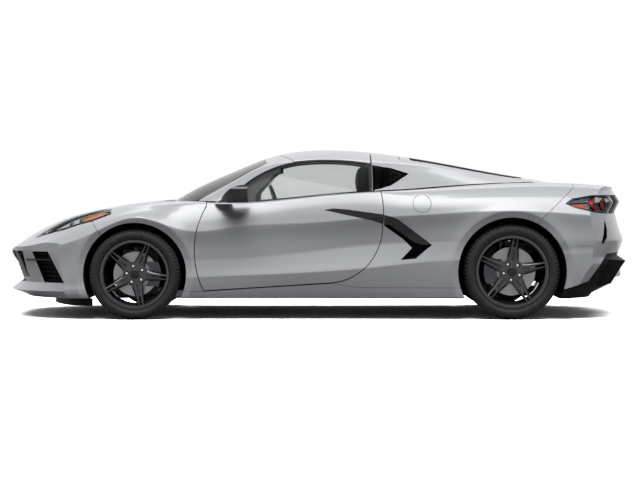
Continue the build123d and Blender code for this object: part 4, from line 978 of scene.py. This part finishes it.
def tyre(axle):
    """Tyre with bead, ribbed side, notched shoulder and four tread grooves."""
    _, r, _, rim_half, bead, half, _ = WHEELS[axle]
    rim, b = rim_half - 14.5, bead + 0.4
    mid = (r + b) / 2
    side = [(rim, b), (rim + 3, b + 8), (half - 14, b + 15), (half - 8, b + 16), (half - 7, b + 19),
            (half - 6, b + 22), (half - 2.5, mid - 12), (half - 1.5, mid - 11), (half - 1.4, mid - 9),
            (half, mid - 3), (half, mid + 2), (half - 1.5, mid + 9), (half - 4, mid + 17),
            (half - 8, r - 21), (half - 15, r - 14), (half - 24, r - 8), (half - 34, r - 4.5),
            (half - 46, r - 2), (half - 60, r - 1)]
    for w in (0.54 * half, 0.18 * half):
        side += [(w + 5, r - 0.8), (w + 4.5, r - 8), (w - 4.5, r - 8), (w - 5, r - 0.6)]
    profile = side + [(-w, q) for w, q in reversed(side)] + [(-rim + 12, b + 5), (rim - 12, b + 5)]

    def notched(k, rows):
        """The outline at the k-th step round: two steps in four are notched."""
        if k % 4 > 1:
            return rows
        return [(w - math.copysign(NOTCH, w), q - NOTCH)
                if r - 23 < q < r - 3 and abs(w) > half - 40 else (w, q) for w, q in rows]

    at_wheel(axle, "tyre", rubber, turned(f"tread_{axle}_left", profile, 4 * 72, notched))


for axle in WHEELS:
    wheel(axle)
    tyre(axle)

# plain trays: the front one hangs below the lower arms, with a lip up at each end
TRAY_HALF, TRAY_Z, LIP_Z = 500, 133, 154
undertray = block(-1575, -955, -TRAY_HALF, TRAY_HALF, TRAY_Z, TRAY_Z + 6, "undertray_front")
join(undertray, *[block(x, x + 10, -TRAY_HALF, TRAY_HALF, TRAY_Z, LIP_Z) for x in (-1575, -965)])
for o in (undertray, block(1195, 1562, -TRAY_HALF, TRAY_HALF, 150, 156, "undertray_rear")):
    o.data.materials.append(satin_black)
    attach(o, body_of["floor_pan"])
    shown.add(o)

# ---------------------------------------------------------------- seats: padded pieces on a moulded shell
SEAT_Y, CORE, EDGE = 365.0, 126.0, 236.0       # middle of the seat, half the core, outside of the side pads
CUSHION = [(-176, 300), (-176, 374), ((-112, 398), (60, 368)), (160, 352), (160, 300)]
THIGH = [(-178, 300), (-178, 388), ((-114, 416), (60, 388)), (160, 372), (160, 300)]
BACK = [(206, 372), ((250, 690), (310, 885)), (354, 893), ((316, 600), (286, 310)), (232, 300)]
SIDE = [(196, 392), ((222, 700), (292, 893)), (354, 897), ((316, 600), (286, 310)), (226, 300)]
HEADREST = [(296, 912), ((284, 1000), (304, 1096)), ((350, 1114), (378, 1084)), (360, 912)]
SEAT_SHELL = [(-182, 264), (-182, 298), (226, 298), ((312, 600), (350, 890)), (376, 1060), (384, 1060),
              (366, 890), ((328, 600), (296, 300)), (232, 264)]
FRAMES, CAP, FILL = 20, 9.0, 0.7               # steps of the cloth, how far it may swell, how full it is
SWELL = 6.0                                    # how far a pad is kept inside its place, to swell into it
VOXEL = 0.008         # of the remeshed pads (m)
SEWN, SEWN_WIDE = 3.5, 3.5                     # depth and half-width of a sewn line


def inflated(obj, grooves=()):
    """Pad blown up as cloth round its solid, then pressed in along its sewn lines: (axis, place) in mm."""
    remesh = obj.modifiers.new("voxels", "REMESH")
    remesh.mode, remesh.voxel_size = "VOXEL", VOXEL
    baked(obj)
    start = [v.co.copy() for v in obj.data.vertices]
    cloth = obj.modifiers.new("cloth", "CLOTH").settings
    cloth.quality, cloth.use_pressure, cloth.uniform_pressure_force = 4, True, 4.0
    cloth.effector_weights.gravity = 0
    for k in range(1, FRAMES + 1):
        bpy.context.scene.frame_set(k)
    baked(obj)
    bpy.context.scene.frame_set(1)
    for v, a in zip(obj.data.vertices, start):
        way = v.co - a
        if way.length > CAP / 1000:
            v.co = a + way * (CAP / 1000 / way.length)
    smooth = obj.modifiers.new("smooth", "SMOOTH")
    smooth.factor, smooth.iterations = 0.5, 4
    obj.modifiers.new("fine", "SUBSURF").levels = 1
    baked(obj)
    depth = [max((math.exp(-((v.co[axis] * 1000 - place) / SEWN_WIDE) ** 2) for axis, place in grooves),
                 default=0) for v in obj.data.vertices]
    normals = [v.normal.copy() for v in obj.data.vertices]
    for v, n, d in zip(obj.data.vertices, normals, depth):
        v.co -= n * (SEWN / 1000 * d)
    return obj


def add_pads(obj):
    """A pad and its twin in the right-hand seat, left smooth."""
    for o in (obj, add_both("seats", leather, obj)):
        o.data.set_sharp_from_angle(angle=math.pi)


for name, steps, grooves in (("cushion", CUSHION, [(0, -120), (0, -40), (0, 40), (0, 120)]),
                             ("backrest", BACK, [(2, 440), (2, 540), (2, 640), (2, 740), (2, 840)]),
                             ("headrest", HEADREST, [(2, 960)])):
    core = inflated(side_prism(steps, SEAT_Y - CORE + SWELL, SEAT_Y + CORE - SWELL), grooves)
    core.name = f"{name}_left"
    add_pads(core)
for name, steps in (("thigh_pad", THIGH), ("side_pad", SIDE)):
    outer_pad = inflated(side_prism(steps, SEAT_Y + CORE + 5, SEAT_Y + EDGE - SWELL))
    inner_pad = mirrored(outer_pad, f"{name}_inner_left", -SEAT_Y)
    outer_pad.name = f"{name}_outer_left"
    add_pads(outer_pad)
    add_pads(inner_pad)
room = join(*[block(x0, x1, -SEAT_Y - half, -SEAT_Y + half, z0, z1) for x0, x1, half, z0, z1 in (
    (-300, 300, 240, 200, 930), (300, 420, 240, 200, 900), (300, 420, 122, 880, 1100))])
seat_shell = keep(side_prism(SEAT_SHELL, SEAT_Y - EDGE + 4, SEAT_Y + EDGE - 4), room)
join(seat_shell, *[block(-150, 200, y - 20, y + 20, 205, 270) for y in (-SEAT_Y - 190, -SEAT_Y + 190)])
seat_shell.name = "seat_shell_left"
add_both("seats", moulded, seat_shell)

for n, o in nodes.items():
    if n in LOOK:
        o.data.materials.clear()
        o.data.materials.append(LOOK[n])
keepers = shown | set(nodes.values()) | set(frame["bodies"].values())
for o in list(bpy.data.objects):
    if o.type == "MESH" and o not in keepers:
        bpy.data.objects.remove(o)

# ---------------------------------------------------------------- stage
def background_rays(tree):
    """1 for rays that show the background: from the camera, or through a reflection or a pane."""
    rays, *either = shaders(tree, "LightPath", "Math", "Math")
    value = rays.outputs["Is Camera Ray"]
    for node, key in zip(either, ("Is Glossy Ray", "Is Transmission Ray")):
        node.operation = "MAXIMUM"
        tree.links.new(value, node.inputs[0])
        tree.links.new(rays.outputs[key], node.inputs[1])
        value = node.outputs[0]
    return value


def mixed(tree, share, first, second):
    """Shader that goes from first to second as share goes from 0 to 1."""
    mix, = shaders(tree, "MixShader")
    for k, out in enumerate((share, first, second)):
        tree.links.new(out, mix.inputs[k])
    return mix.outputs[0]


bpy.ops.mesh.primitive_plane_add(size=1)
floor = bpy.context.object
floor.scale = (14, 6, 1)
floor.name = "floor"
pale = bpy.data.materials.new("pale_floor")
tree = fresh_tree(pale)
out, rays, plain, reflected, seen = shaders(tree, "OutputMaterial", "LightPath", *["BsdfDiffuse"] * 3)
for shader, colour in ((plain, (0.1, 0.1, 0.102, 1)), (reflected, (0.75, 0.75, 0.76, 1)),
                       (seen, (4.0, 4.0, 4.02, 1))):         # seen: lit to white where no shadow falls
    shader.inputs["Color"].default_value = colour
no_camera = mixed(tree, background_rays(tree), plain.outputs[0], reflected.outputs[0])
tree.links.new(mixed(tree, rays.outputs["Is Camera Ray"], no_camera, seen.outputs[0]), out.inputs["Surface"])
floor.data.materials.append(pale)

BOX_Y, BOX_Z, AIM_Y = 3.0, 5.0, 1.6            # where the soft boxes hang, and the line they face
for side, name, power in ((-1, "left", 128), (1, "right", 70)):
    data = bpy.data.lights.new(f"soft_box_{name}", "AREA")
    data.shape, data.size, data.size_y = "RECTANGLE", 11.0, 2.6
    data.energy, data.spread = power, math.radians(70)
    lamp = bpy.data.objects.new(f"soft_box_{name}", data)
    lamp.location = (0, side * BOX_Y, BOX_Z)
    lamp.rotation_euler = Vector((0, side * (AIM_Y - BOX_Y), -BOX_Z)).to_track_quat("-Z", "Y").to_euler()
    bpy.context.scene.collection.objects.link(lamp)

world = bpy.data.worlds.new("world")
bpy.context.scene.world = world
tree = fresh_tree(world)
out, lit, white = shaders(tree, "OutputWorld", "Background", "Background")
for shader, colour, strength in ((lit, (0.95, 0.97, 1.0, 1), 0.1), (white, (1, 1, 1, 1), 1.0)):
    shader.inputs["Color"].default_value, shader.inputs["Strength"].default_value = colour, strength
tree.links.new(mixed(tree, background_rays(tree), lit.outputs[0], white.outputs[0]), out.inputs["Surface"])

scene = bpy.context.scene
scene.view_settings.view_transform = "Standard"
lens = bpy.data.cameras.new("camera")
lens.sensor_width, lens.lens, lens.clip_end = 36, 2093 / 640 * 36, 200
lens.shift_y = -(240 - 181) / 640
camera = bpy.data.objects.new("camera", lens)
scene.collection.objects.link(camera)
camera.location, camera.rotation_euler = (0, -16.0, 1.0), (math.radians(90), 0, 0)
scene.camera = camera
